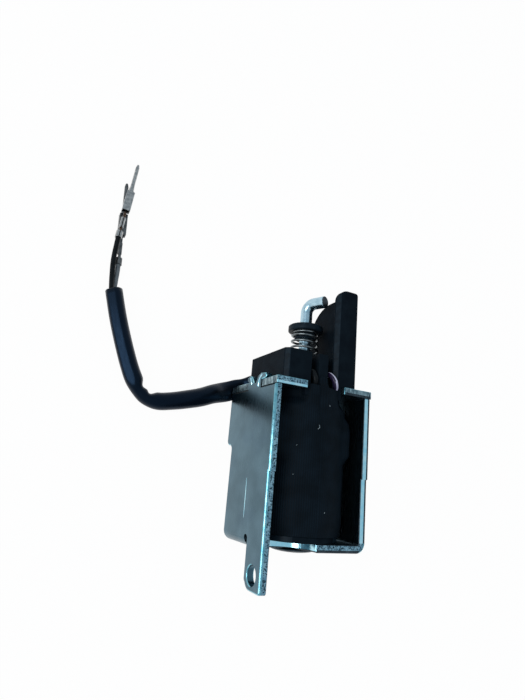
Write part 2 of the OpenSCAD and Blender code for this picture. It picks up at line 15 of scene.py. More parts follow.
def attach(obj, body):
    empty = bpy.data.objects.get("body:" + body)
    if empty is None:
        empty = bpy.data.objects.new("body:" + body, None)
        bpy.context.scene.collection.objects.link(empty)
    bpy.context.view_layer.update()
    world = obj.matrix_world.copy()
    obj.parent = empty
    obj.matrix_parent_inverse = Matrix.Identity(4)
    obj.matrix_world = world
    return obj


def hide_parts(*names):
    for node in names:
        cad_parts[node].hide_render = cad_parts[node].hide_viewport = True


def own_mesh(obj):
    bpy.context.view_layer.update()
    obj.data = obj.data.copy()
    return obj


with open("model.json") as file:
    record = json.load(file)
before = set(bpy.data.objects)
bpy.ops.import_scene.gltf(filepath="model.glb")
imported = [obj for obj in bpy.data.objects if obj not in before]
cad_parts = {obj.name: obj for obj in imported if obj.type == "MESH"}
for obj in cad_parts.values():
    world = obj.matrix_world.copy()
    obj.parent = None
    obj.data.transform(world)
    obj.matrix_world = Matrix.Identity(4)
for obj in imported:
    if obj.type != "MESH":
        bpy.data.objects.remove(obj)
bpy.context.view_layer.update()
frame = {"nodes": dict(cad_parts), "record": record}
log = logging.getLogger("solenoid")

# Short names for the types that the functions take and give
Form = bmesh.types.BMesh
Mesh = bpy.types.Mesh
Node = bpy.types.Node
Piece = bpy.types.Object
Socket = bpy.types.NodeSocket
Tree = bpy.types.NodeTree
Pair = tuple[float, float]
Triple = tuple[float, float, float]
Path = Sequence[Vector]

MM = 0.001

# The part is drawn upright about the plunger and lies on its back, so the plunger's slide gives both frames:
# UP runs along the plunger towards the hook, OUT points out of the yoke's open front
SLIDE = frame["record"]["behaviour"]["joints"][0]
RIGHT = Vector((1, 0, 0))
UP = -Vector(SLIDE["axis"]).normalized()
OUT = RIGHT.cross(UP)
BOSS_TOP = 45.2
PLATE_TOP = 37.8
ROOT = Vector(SLIDE["pos_m"]) - UP * BOSS_TOP * MM
LIE_ANGLE = math.atan2(UP.z, UP.y)

# How squarely a face looks along an axis if it faces that way, and if it lies flat across it
FACING = 0.6
FLAT = 0.99
# Corners of a solid that lie this near are one, and a cut passes through corners this near, in metres
MERGE_NEAR = 2e-6
CUT_NEAR = 1e-7
# The steps of a wire's curve from each point of its route to the next, and the share of its width left at its ends
WIRE_STEPS = 8
WIRE_END = 0.86
# The spans of a noise that carry a finish from its dark tone to its pale one, and from its first gloss to its second
TONE_SPAN = (0.36, 0.64)
GLOSS_SPAN = (0.3, 0.7)
# A wave texture turns so many radians for each unit of its scale
WAVE_TURN = 20
# The numbers of a mix node's colour sockets: two inputs and the output
MIX_FIRST, MIX_SECOND, MIX_RESULT = 6, 7, 2


def upright(x: float, y: float, z: float) -> Vector:
    """Places a point of the upright part: millimetres right, up from the bottom plate, and out of the front."""
    return ROOT + (RIGHT * x + UP * y + OUT * z) * MM


def tabled(x: float, y: float, z: float) -> Vector:
    """Places a point of the table: millimetres right of the plunger, beyond the top plate, and above the table."""
    return Vector((x * MM, upright(0, PLATE_TOP, 0).y + y * MM, z * MM))


def leaning(way: Vector) -> Vector:
    """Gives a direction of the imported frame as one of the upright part."""
    return Vector((way.dot(RIGHT), way.dot(UP), way.dot(OUT)))


def measured(point: Vector) -> Vector:
    """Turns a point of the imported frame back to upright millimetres."""
    return leaning((point - ROOT) / MM)


def ease(low: float, high: float, value: float) -> float:
    """Rises smoothly from 0 at low to 1 at high."""
    t = min(max((value - low) / (high - low), 0.0), 1.0)
    return t * t * (3 - 2 * t)


def linear(hex_colour: str) -> tuple[float, float, float, float]:
    """Turns an sRGB hex colour to linear light.

    Args:
        hex_colour: A colour such as #8fa6b0.

    Returns:
        Red, green, blue and a full alpha.
    """
    parts = [int(hex_colour[i:i + 2], 16) / 255 for i in (1, 3, 5)]
    red, green, blue = [c / 12.92 if c <= 0.04045 else ((c + 0.055) / 1.055) ** 2.4 for c in parts]
    return red, green, blue, 1.0


def add(tree: Tree, kind: str, links: dict[Any, Any] | None = None, **settings: Any) -> Node:
    """Adds a node to a tree.

    Args:
        tree: The tree that takes the node.
        kind: The node's type name.
        links: A value or another node's output for each input, by the input's name or number.
        settings: The node's own properties.

    Returns:
        The new node.
    """
    made = tree.nodes.new(kind)
    for name, value in settings.items():
        setattr(made, name, value)
    for name, value in (links or {}).items():
        if isinstance(value, Socket):
            tree.links.new(value, made.inputs[name])
        else:
            made.inputs[name].default_value = value
    return made


class Along(Enum):
    """What a finish's pattern follows."""

    PART = "part"
    SURFACE = "surface"


class Side(IntEnum):
    """The part's two sides."""

    LEFT = -1
    RIGHT = 1


@dataclass(frozen=True)
class Finish:
    """A surface finish: two tones in soft patches, and a grain that sets its gloss and its bump.

    Attributes:
        name: The real material's name.
        dark: The darker tone.
        pale: The paler tone.
        patch: The patches' size in millimetres.
        gloss: The roughness in the grain's hollows and on its crests.
        grain: The grain's length along each axis, in millimetres.
        relief: The grain's height in millimetres.
        metallic: 1 for a metal.
        specular: How strongly it mirrors, if it is no metal.
        along: What the pattern follows.
        gleam: The tint of its highlights.
    """

    name: str
    dark: str
    pale: str
    patch: float
    gloss: Pair
    grain: Triple
    relief: float
    metallic: float = 0.0
    specular: float = 0.5
    along: Along = Along.PART
    gleam: str = "#ffffff"

    def material(self) -> bpy.types.Material:
        """Makes the material, or finds it if it is made already.

        Returns:
            The material.
        """
        made = bpy.data.materials.get(self.name)
        if made is None:
            made = bpy.data.materials.new(self.name)
            made.use_nodes = True
            self.lay(made.node_tree, made.node_tree.nodes["Principled BSDF"])
        return made

    def lay(self, tree: Tree, shader: Node) -> None:
        """Fills the material's tree.

        Args:
            tree: The material's tree.
            shader: Its Principled shader.
        """
        shader.inputs["Metallic"].default_value = self.metallic
        shader.inputs["Specular IOR Level"].default_value = self.specular
        shader.inputs["Specular Tint"].default_value = linear(self.gleam)
        place = self.place(tree)
        patches = add(tree, "ShaderNodeTexNoise", {"Vector": place, "Scale": 1 / self.patch, "Detail": 3.0})
        share = add(tree, "ShaderNodeMapRange", {"Value": patches.outputs["Fac"], "From Min": TONE_SPAN[0],
                                                 "From Max": TONE_SPAN[1]})
        tone = self.mix(tree, share.outputs["Result"], linear(self.dark), linear(self.pale))
        grain = self.grains(tree, place)
        gloss = add(tree, "ShaderNodeMapRange", {"Value": grain, "From Min": GLOSS_SPAN[0], "From Max": GLOSS_SPAN[1],
                                                 "To Min": self.gloss[0], "To Max": self.gloss[1]})
        bump = add(tree, "ShaderNodeBump", {"Strength": 1.0, "Distance": self.relief * MM, "Height": grain})
        tree.links.new(self.tint(tree, place, grain, tone), shader.inputs["Base Color"])
        tree.links.new(gloss.outputs["Result"], shader.inputs["Roughness"])
        tree.links.new(bump.outputs["Normal"], shader.inputs["Normal"])

    def place(self, tree: Tree) -> Socket:
        """Adds the pattern's place, in millimetres.

        Args:
            tree: The material's tree.

        Returns:
            The upright part's own coordinates, or those of the surface's UV map.
        """
        coords = add(tree, "ShaderNodeTexCoord")
        if self.along is Along.SURFACE:
            return coords.outputs["UV"]
        return add(tree, "ShaderNodeMapping", {"Vector": coords.outputs["Object"], "Location": ROOT,
                                               "Rotation": (LIE_ANGLE, 0, 0), "Scale": (MM, MM, MM)},
                   vector_type="TEXTURE").outputs["Vector"]

    def grains(self, tree: Tree, place: Socket) -> Socket:
        """Adds the grain at its place, as long along each axis as the finish says, and gives its height."""
        stretched = add(tree, "ShaderNodeMapping", {"Vector": place, "Scale": [1 / g for g in self.grain]}).outputs[0]
        return add(tree, "ShaderNodeTexNoise", {"Vector": stretched, "Scale": 1.0, "Detail": 2.0}).outputs["Fac"]

    def mix(self, tree: Tree, share: Socket, first: Any, second: Any) -> Socket:
        """Mixes two colours, or outputs that give one, by the share of the second."""
        mixed = add(tree, "ShaderNodeMix", {"Factor": share, MIX_FIRST: first, MIX_SECOND: second}, data_type="RGBA")
        return mixed.outputs[MIX_RESULT]

    def tint(self, tree: Tree, place: Socket, grain: Socket, tone: Socket) -> Socket:
        """Leaves the tone as it is."""
        return tone


@dataclass(frozen=True)
class Passivated(Finish):
    """Zinc plate with a blue passivate film that pools in wide, faint clouds."""

    film: str = "#35546a"
    cloud: float = 9.0
    cloud_span: Pair = (0.5, 0.75)
    most: float = 0.4

    def tint(self, tree: Tree, place: Socket, grain: Socket, tone: Socket) -> Socket:
        """Lays the film's clouds over the plate's tone.

        Args:
            tree: The material's tree.
            place: The pattern's place.
            grain: The grain's height; not used.
            tone: The plate's tone.

        Returns:
            The tinted colour.
        """
        clouds = add(tree, "ShaderNodeTexNoise", {"Vector": place, "Scale": 1 / self.cloud, "Detail": 1.0})
        share = add(tree, "ShaderNodeMapRange", {"Value": clouds.outputs["Fac"], "From Min": self.cloud_span[0],
                                                 "From Max": self.cloud_span[1], "To Max": self.most},
                    interpolation_type="SMOOTHSTEP")
        return self.mix(tree, share.outputs["Result"], tone, linear(self.film))


@dataclass(frozen=True)
class Pitted(Finish):
    """A finish that is darker in its grain's pits: by default a sheared edge, whose crests are torn bright."""

    pit: str = "#2c4350"
    pit_span: Pair = (0.38, 0.56)
    least: float = 0.0

    def tint(self, tree: Tree, place: Socket, grain: Socket, tone: Socket) -> Socket:
        """Darkens the grain's pits.

        Args:
            tree: The material's tree.
            place: The pattern's place; not used.
            grain: The grain's height.
            tone: The crests' tone.

        Returns:
            The grained colour.
        """
        share = add(tree, "ShaderNodeMapRange", {"Value": grain, "From Min": self.pit_span[0],
                                                 "From Max": self.pit_span[1], "To Min": self.least})
        return self.mix(tree, share.outputs["Result"], linear(self.pit), tone)


@dataclass(frozen=True)
class Woven(Pitted):
    """Cloth tape: ribs that run up the coil and a finer weft across them, dark in the valleys between."""

    pit: str = "#03060a"
    pit_span: Pair = (0.1, 0.8)
    least: float = 0.45
    rib: float = 0.52
    rib_share: float = 0.75
    weft: float = 0.3
    waver: float = 0.35

    def grains(self, tree: Tree, place: Socket) -> Socket:
        """Adds the weave on the surface's own map, ribs across it and weft along it.

        Args:
            tree: The material's tree.
            place: The surface's map, in millimetres.

        Returns:
            The weave's height, from 0 to 1.
        """
        heights = []
        for axis, pitch, weight in (("X", self.rib, self.rib_share), ("Y", self.weft, 1 - self.rib_share)):
            wave = add(tree, "ShaderNodeTexWave", {"Vector": place, "Scale": math.tau / (WAVE_TURN * pitch),
                                                   "Distortion": self.waver, "Detail": 1.0, "Detail Scale": 2.0},
                       wave_type="BANDS", bands_direction=axis)
            part = add(tree, "ShaderNodeMath", {0: wave.outputs["Fac"], 1: weight}, operation="MULTIPLY")
            heights.append(part.outputs[0])
        return add(tree, "ShaderNodeMath", {0: heights[0], 1: heights[1]}).outputs[0]


# Zinc plate, blue passivated: a cool grey metal, satin from the rolled strip under it
ZINC = Passivated("zinc_plate_blue_passivated", "#486572", "#577583", 7.0, (0.26, 0.34), (0.5, 7.0, 0.3), 0.002, 1.0)
# The same plate on a sheared edge: torn grains about a third of a millimetre wide, painted pale as the highlight that
# the front edges take from above
TORN_HIGHLIGHT = Pitted("zinc_sheared_edge_painted_highlight", "#749db1", "#a2cad9", 1.5, (0.26, 0.5), (0.36, 0.36, 0.36), 0.08, 1.0)
# The plate's own sheared edge: lines left by the die, square to the plate
STRIATED = Pitted("zinc_plate_die_lines", "#7d98a1", "#a4bdc4", 1.5, (0.24, 0.45), (0.3, 2.4, 0.3), 0.06, 1.0)
# The plate where an edge was rolled over and rubbed: smooth and bright, tinted cyan as painted blue window light in
# its highlights
RUBBED_BLUE_LIT = Finish("zinc_rubbed_edge_painted_blue_light", "#68aabc", "#90cad8", 1.2, (0.18, 0.28), (0.4, 1.2, 0.4), 0.006, 1.0)
# The plate where the die burnished the cut: an even, glossy pale blue, its brightness partly a painted highlight
BURNISHED_HIGHLIGHT = Finish("zinc_burnished_cut_painted_highlight", "#a6e6fa", "#c8f4ff", 1.5, (0.14, 0.22), (0.3, 2.4, 0.3), 0.006, 1.0)
# The seam between the plate and the strip, and the relief cut: dark with painted shade in the crease
SEAM_SHADE = Finish("zinc_seam_painted_shade", "#141d22", "#263239", 0.8, (0.5, 0.7), (0.2, 0.2, 0.2), 0.02, 1.0)
# Glass-filled nylon: nearly black, satin, with a fine moulded grain
NYLON = Finish("black_glass_filled_nylon", "#0c131a", "#111a21", 3.0, (0.42, 0.56), (0.16, 0.16, 0.16), 0.008,
               specular=0.02)
# The moulding's edges, rubbed a little paler
NYLON_EDGE = Finish("black_nylon_rubbed_edge", "#101a22", "#17242d", 1.2, (0.36, 0.48), (0.2, 0.2, 0.2), 0.006,
                    specular=0.08)
# Acetate cloth tape: matt, blue-black, ribbed
TAPE = Woven("black_acetate_cloth_tape", "#09131a", "#0f1b24", 4.0, (0.55, 0.75), (0.5, 0.5, 0.5), 0.05,
             specular=0.06, along=Along.SURFACE)
# Lint on the tape: short pale fibres
LINT = Finish("cotton_lint", "#76838a", "#a0acb1", 0.4, (0.8, 0.9), (0.1, 0.1, 0.1), 0.01, specular=0.2)
# Soft vinyl tube: black, smooth and oily, so it takes long soft highlights, tinted blue as painted window light
VINYL = Finish("black_vinyl_sleeve", "#05070a", "#080b0f", 5.0, (0.26, 0.36), (0.6, 3.0, 0.6), 0.015, specular=0.36,
               along=Along.SURFACE, gleam="#6fa2dc")
# Wire insulation: satin vinyl drawn along the wire
BLACK_WIRE = Finish("black_wire_insulation", "#0a0e11", "#11161a", 2.5, (0.3, 0.42), (0.3, 2.0, 0.3), 0.01,
                    specular=0.1, along=Along.SURFACE)
GREY_WIRE = Finish("grey_wire_insulation", "#52595e", "#6d7377", 2.5, (0.34, 0.48), (0.3, 2.0, 0.3), 0.01,
                   along=Along.SURFACE)
PURPLE_WIRE = Finish("purple_wire_insulation", "#191129", "#271d3b", 2.5, (0.26, 0.36), (0.3, 2.0, 0.3), 0.01,
                     specular=0.3, along=Along.SURFACE)
# A painted highlight along the purple wire's front: a chalky lilac
LILAC_HIGHLIGHT = Finish("lilac_painted_highlight", "#aaa6bd", "#d6d2e4", 2.5, (0.4, 0.5), (0.3, 2.0, 0.3), 0.006,
                along=Along.SURFACE)
# Drawn wire, bright zinc: pale and glossy with faint lines along the rod
ROD = Finish("bright_zinc_plated_rod", "#97b8c8", "#b8d6e4", 2.0, (0.2, 0.28), (0.3, 4.0, 0.3), 0.003, 1.0)
# A cut end, and edges that turn from the light: dark with painted shade, with the tool's lines
CUT_END_AND_SHADE = Finish("zinc_cut_end_and_painted_shade", "#2c353b", "#465159", 0.8, (0.34, 0.5), (0.15, 1.2, 0.15), 0.02, 1.0)
# Spring wire, plated: silver grey
SPRING = Finish("plated_spring_wire", "#6d7477", "#8d9496", 0.8, (0.26, 0.38), (0.2, 0.2, 0.2), 0.006, 1.0)
# Tin plate on brass: soft grey metal with rubbed streaks
TIN = Finish("tin_plated_brass", "#8f9293", "#b8b9b8", 0.9, (0.18, 0.28), (0.2, 1.6, 0.2), 0.003, 1.0)
# The same tin, a darker grey: painted shade on the lower pin
SHADED_TIN = Finish("tin_plated_brass_painted_shade", "#505456", "#6f7273", 0.9, (0.3, 0.42), (0.2, 1.6, 0.2), 0.003, 1.0)
# Bare copper strands, dulled by handling
COPPER = Finish("bare_copper_strand", "#4f4037", "#6e5646", 0.5, (0.3, 0.42), (0.12, 0.12, 0.12), 0.006, 1.0)
# Enamelled copper, under the tape
ENAMEL = Finish("enamelled_copper_winding", "#7c3f22", "#a65c34", 1.5, (0.22, 0.34), (3.0, 0.15, 3.0), 0.02, 1.0)
# Drawn brass tube: yellow, with lines along it
BRASS = Finish("drawn_brass_tube", "#a58a4a", "#c4a862", 2.0, (0.2, 0.34), (0.1, 2.0, 0.1), 0.006, 1.0)
# Turned steel: grey, with the lathe's rings across it
STEEL = Finish("turned_steel", "#7f878b", "#a0a8ac", 2.0, (0.24, 0.36), (2.0, 0.12, 2.0), 0.008, 1.0)
# Rubber: dead black and matt
RUBBER = Finish("damper_rubber", "#17181a", "#222326", 1.5, (0.7, 0.85), (0.2, 0.2, 0.2), 0.02, specular=0.3)


def finish_mesh(name: str, mesh: Mesh, finishes: Sequence[Finish], sharp: float = 40.0) -> Piece:
    """Makes a mesh a finished piece at the origin.

    Args:
        name: The piece's name.
        mesh: Its mesh, in place.
        finishes: Its finishes, in the order of its faces' material numbers.
        sharp: Edges that turn more than this many degrees stay sharp.

    Returns:
        The piece.
    """
    mesh.name = name
    # Clearing sets every face's number to 0, so it is kept to a node tree's mesh, which has one finish
    if mesh.materials:
        mesh.materials.clear()
    for finish in finishes:
        mesh.materials.append(finish.material())
    mesh.shade_smooth()
    mesh.set_sharp_from_angle(angle=math.radians(sharp))
    piece = bpy.data.objects.new(name, mesh)
    bpy.context.scene.collection.objects.link(piece)
    return piece


def settle(piece: Piece) -> None:
    """Turns a piece's modifiers into plain mesh.

    Args:
        piece: The piece, which keeps its name and its place.
    """
    graph = bpy.context.evaluated_depsgraph_get()
    mesh = bpy.data.meshes.new_from_object(piece.evaluated_get(graph), preserve_all_data_layers=True, depsgraph=graph)
    piece.modifiers.clear()
    old = piece.data
    piece.data = mesh
    bpy.data.meshes.remove(old)
    mesh.name = piece.name


def report(piece: Piece, body: str, *nodes: str) -> Piece:
    """Puts a finished piece on its body, in place of the nodes that it stands for.

    Args:
        piece: The finished piece.
        body: The body that it rides on.
        nodes: The nodes that it replaces.

    Returns:
        The piece.
    """
    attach(piece, body)
    if nodes:
        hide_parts(*nodes)
    log.info("%s rides on %s with %d faces", piece.name, body, len(piece.data.polygons))
    return piece


def dress_nodes(finishes: dict[str, Finish]) -> None:
    """Gives nodes that keep their own shape a better finish.

    Args:
        finishes: A finish for each node's name.
    """
    for node, finish in finishes.items():
        slots = frame["nodes"][node].data.materials
        slots.clear()
        slots.append(finish.material())
        log.info("%s keeps its shape, in %s", node, finish.name)


def smooth_path(points: Path, steps: int) -> list[Vector]:
    """Runs one smooth curve through a route's points.

    Args:
        points: The route's points.
        steps: How many steps the curve takes from each point to the next.

    Returns:
        The curve's points.
    """
    ends = [points[0] * 2 - points[1], *points, points[-1] * 2 - points[-2]]
    curve = []
    for a, b, c, d in zip(ends, ends[1:], ends[2:], ends[3:]):
        for k in range(steps):
            t = k / steps
            curve.append(0.5 * (2 * b + (c - a) * t + (2 * a - 5 * b + 4 * c - d) * t * t
                                + (3 * b - a - 3 * c + d) * t ** 3))
    return curve + [points[-1].copy()]


def run(path: Path) -> float:
    """Gives a path's length in metres."""
    return sum((b - a).length for a, b in zip(path, path[1:]))


def headings(path: Path) -> list[Vector]:
    """Gives the direction of a path at each of its points."""
    last = len(path) - 1
    return [(path[min(i + 1, last)] - path[max(i - 1, 0)]).normalized() for i in range(last + 1)]


def carried(path: Path, first: Vector) -> list[Vector]:
    """Carries a sideways direction along a path without twisting it.

    Args:
        path: The path's points.
        first: The sideways direction at its start.

    Returns:
        One direction for each point, square to the path.
    """
    sides = []
    for ahead in headings(path):
        first = (first - ahead * first.dot(ahead)).normalized()
        sides.append(first)
    return sides


def set_down(name: str, form: Form) -> Mesh:
    """Turns a form into a mesh and frees the form.

    Args:
        name: The mesh's name.
        form: The form.

    Returns:
        The mesh.
    """
    mesh = bpy.data.meshes.new(name)
    form.to_mesh(mesh)
    form.free()
    return mesh


def take_in(form: Form, parts: Sequence[tuple[Mesh, int]]) -> Form:
    """Adds meshes to a form and removes them.

    Args:
        form: The form that takes them.
        parts: The meshes, each with its faces' material number.

    Returns:
        The form.
    """
    for part, number in parts:
        part.polygons.foreach_set("material_index", [number] * len(part.polygons))
        form.from_mesh(part)
        bpy.data.meshes.remove(part)
    return form


def loft(rings: Sequence[Path], closed: bool = False) -> Mesh:
    """Skins a row of rings, and caps its ends or joins them.

    Args:
        rings: Rings of as many points each, in order.
        closed: Whether the row closes on itself, out along a tube's outside and back along its inside.

    Returns:
        A closed mesh whose map runs round and along the skin in millimetres.
    """
    count = len(rings[0])
    along = [0.0]
    for a, b in zip(rings, [*rings[1:], rings[0]] if closed else rings[1:]):
        along.append(along[-1] + (a[0] - b[0]).length / MM)
    girths = [sum((ring[i] - ring[i - 1]).length for i in range(count)) for ring in (rings[:1] if closed else rings)]
    step = max(girths) / MM / count
    form = bmesh.new()
    flat = form.loops.layers.uv.new("UVMap")
    points = [[form.verts.new(p) for p in ring] for ring in rings]
    for i in range(len(along) - 1):
        here, after = points[i], points[(i + 1) % len(rings)]
        for j in range(count):
            k = (j + 1) % count
            face = form.faces.new((here[j], here[k], after[k], after[j]))
            for loop, (u, v) in zip(face.loops, ((j, i), (j + 1, i), (j + 1, i + 1), (j, i + 1))):
                loop[flat].uv = (u * step, along[v])
    for end, turn in () if closed else ((0, -1), (-1, 1)):
        hub = form.verts.new(sum(rings[end], Vector()) / count)
        for j in range(count):
            pair = (points[end][j], points[end][(j + 1) % count])[::turn]
            form.faces.new((*pair, hub))
    bmesh.ops.recalc_face_normals(form, faces=form.faces)
    return set_down("loft", form)


def oval(middle: Vector, side: Vector, over: Vector, half: Pair, count: int) -> list[Vector]:
    """Draws an oval ring of so many points, with its half widths to the side and over it in millimetres."""
    turns = [math.tau * j / count for j in range(count)]
    return [middle + (side * half[0] * math.cos(a) + over * half[1] * math.sin(a)) * MM for a in turns]


def wire_mesh(path: Path, diameter: float, first: Vector, count: int = 20) -> Mesh:
    """Makes a round wire along a path, with softly rounded ends.

    Args:
        path: The wire's middle line.
        diameter: Its diameter in millimetres.
        first: A direction across its start.
        count: How many points each ring has.

    Returns:
        The wire's mesh.
    """
    rings = []
    for i, (middle, ahead, side) in enumerate(zip(path, headings(path), carried(path, first))):
        half = (WIRE_END if i in (0, len(path) - 1) else 1.0) * diameter / 2
        rings.append(oval(middle, side, ahead.cross(side), (half, half), count))
    return loft(rings)


def wire_piece(name: str, finishes: Sequence[Finish], points: Path, diameter: float) -> Piece:
    """Makes an insulated wire, so many millimetres thick, through a route's points."""
    mesh = wire_mesh(smooth_path(points, WIRE_STEPS), diameter, RIGHT)
    return finish_mesh(name, mesh, finishes, sharp=50)


def started(name: str, counts: Sequence[str], sizes: Sequence[str]) -> tuple[Tree, Any]:
    """Starts a node tree that makes a wire.

    Args:
        name: The tree's name.
        counts: The names of its inputs that are counts.
        sizes: The names of its inputs that are sizes.

    Returns:
        The tree, and its inputs by name, with the finish among them.
    """
    tree = bpy.data.node_groups.new(name, "GeometryNodeTree")
    kinds = {**dict.fromkeys(counts, "Int"), **dict.fromkeys(sizes, "Float"), "Finish": "Material"}
    for port, kind in kinds.items():
        tree.interface.new_socket(port, in_out="INPUT", socket_type="NodeSocket" + kind)
    tree.interface.new_socket("Geometry", in_out="OUTPUT", socket_type="NodeSocketGeometry")
    return tree, add(tree, "NodeGroupInput").outputs


def ended(tree: Tree, line: Socket, radius: Socket, sides: int, finish: Socket) -> Tree:
    """Ends a node tree: a round wire along a line, made plain and dressed.

    Args:
        tree: The tree.
        line: The wire's middle line.
        radius: The wire's radius.
        sides: How many sides its section has.
        finish: Its finish.

    Returns:
        The tree.
    """
    section = add(tree, "GeometryNodeCurvePrimitiveCircle", {"Resolution": sides, "Radius": radius})
    wire = add(tree, "GeometryNodeCurveToMesh", {"Curve": line, "Profile Curve": section.outputs["Curve"],
                                                 "Fill Caps": True})
    plain = add(tree, "GeometryNodeRealizeInstances", {"Geometry": wire.outputs[0]})
    dressed = add(tree, "GeometryNodeSetMaterial", {"Geometry": plain.outputs[0], "Material": finish})
    add(tree, "NodeGroupOutput", {"Geometry": dressed.outputs[0]})
    return tree


def grown(name: str, tree: Tree, sizes: dict[str, Any]) -> Mesh:
    """Runs a node tree and keeps its result as a plain mesh.

    Args:
        name: The mesh's name.
        tree: The tree.
        sizes: A value for each of the tree's named inputs.

    Returns:
        The mesh.
    """
    seed = bpy.data.objects.new(name + "_seed", bpy.data.meshes.new(name + "_seed"))
    bpy.context.scene.collection.objects.link(seed)
    rule = seed.modifiers.new(name, "NODES")
    rule.node_group = tree
    for port in tree.interface.items_tree:
        if port.in_out == "INPUT":
            rule[port.identifier] = sizes[port.name]
    seen = seed.evaluated_get(bpy.context.evaluated_depsgraph_get())
    mesh = bpy.data.meshes.new_from_object(seen)
    seed.modifiers.clear()
    bpy.data.objects.remove(seed)
    mesh.name = name
    return mesh


@dataclass
class NodeCopy:
    """A rigid piece made from its solid: merged, with its edges broken and its faces sorted by finish.

    The rules take upright millimetres: face_rule gives a face's finish by its middle and its normal, edge_rule an
    edge's radius by its middle, and last_rule a face's finish again once the edges are broken. The cuts are planes
    that split the faces which look out of the open front or away from it, and extras are meshes that are added.
    """

    node: str
    name: str
    finishes: Sequence[Finish]
    body: str = "frame"
    radius: float = 0.12
    segments: int = 2
    turn: float = 28.0
    flatten: float = 0.5
    face_rule: Callable[[Vector, Vector], Finish] | None = None
    edge_rule: Callable[[Vector], float] | None = None
    edge_finish: Finish | None = None
    last_rule: Callable[[Vector, Vector, Finish], Finish] | None = None
    cuts: Sequence[tuple[Vector, Vector]] = ()
    extras: Sequence[tuple[Mesh, Finish]] = ()

    def number(self, finish: Finish | None) -> int:
        """Gives a finish's number on the piece, or -1 for none."""
        return self.finishes.index(finish) if finish else -1

    def cut(self, form: Form) -> None:
        """Splits the form's front and rear faces along the cuts.

        Args:
            form: The piece's form.
        """
        for spot, way in self.cuts:
            faces = [f for f in form.faces if abs(f.normal.dot(OUT)) > FACING]
            parts = dict.fromkeys([*faces, *(e for f in faces for e in f.edges), *(v for f in faces for v in f.verts)])
            bmesh.ops.bisect_plane(form, geom=list(parts), plane_co=spot, plane_no=way, dist=CUT_NEAR)
            form.normal_update()

    def mark(self, form: Form) -> None:
        """Marks each edge that turns sharply with its share of the widest radius.

        Args:
            form: The piece's form.
        """
        weight = form.edges.layers.float.new("bevel_weight_edge")
        for edge in form.edges:
            if edge.is_manifold and edge.calc_face_angle() > math.radians(self.turn):
                middle = measured((edge.verts[0].co + edge.verts[1].co) / 2)
                edge[weight] = self.edge_rule(middle) / self.radius if self.edge_rule else 1.0

    def soften(self, piece: Piece) -> None:
        """Breaks the marked edges and evens out the shading.

        Args:
            piece: The piece.
        """
        broken = piece.modifiers.new("broken_edges", "BEVEL")
        broken.limit_method = "WEIGHT"
        broken.width = self.radius * MM
        broken.segments = self.segments
        broken.use_clamp_overlap = False
        broken.miter_outer = "MITER_SHARP"
        broken.material = self.number(self.edge_finish)
        even = piece.modifiers.new("even_shading", "WEIGHTED_NORMAL")
        even.keep_sharp = True
        settle(piece)

    def build(self) -> Piece:
        """Builds the piece.

        Returns:
            The piece, in place of its node.
        """
        form = bmesh.new()
        form.from_mesh(frame["nodes"][self.node].data)
        bmesh.ops.remove_doubles(form, verts=form.verts, dist=MERGE_NEAR)
        bmesh.ops.dissolve_limit(form, angle_limit=math.radians(self.flatten), verts=form.verts, edges=form.edges)
        self.cut(form)
        if self.face_rule:
            for face in form.faces:
                finish = self.face_rule(measured(face.calc_center_median()), leaning(face.normal))
                face.material_index = self.number(finish)
        self.mark(form)
        take_in(form, [(part, self.number(finish)) for part, finish in self.extras])
        piece = finish_mesh(self.name, set_down(self.name, form), self.finishes)
        self.soften(piece)
        if self.last_rule:
            for face in piece.data.polygons:
                now = self.finishes[face.material_index]
                finish = self.last_rule(measured(face.center), leaning(face.normal), now)
                face.material_index = self.number(finish)
        return report(piece, self.body, self.node)


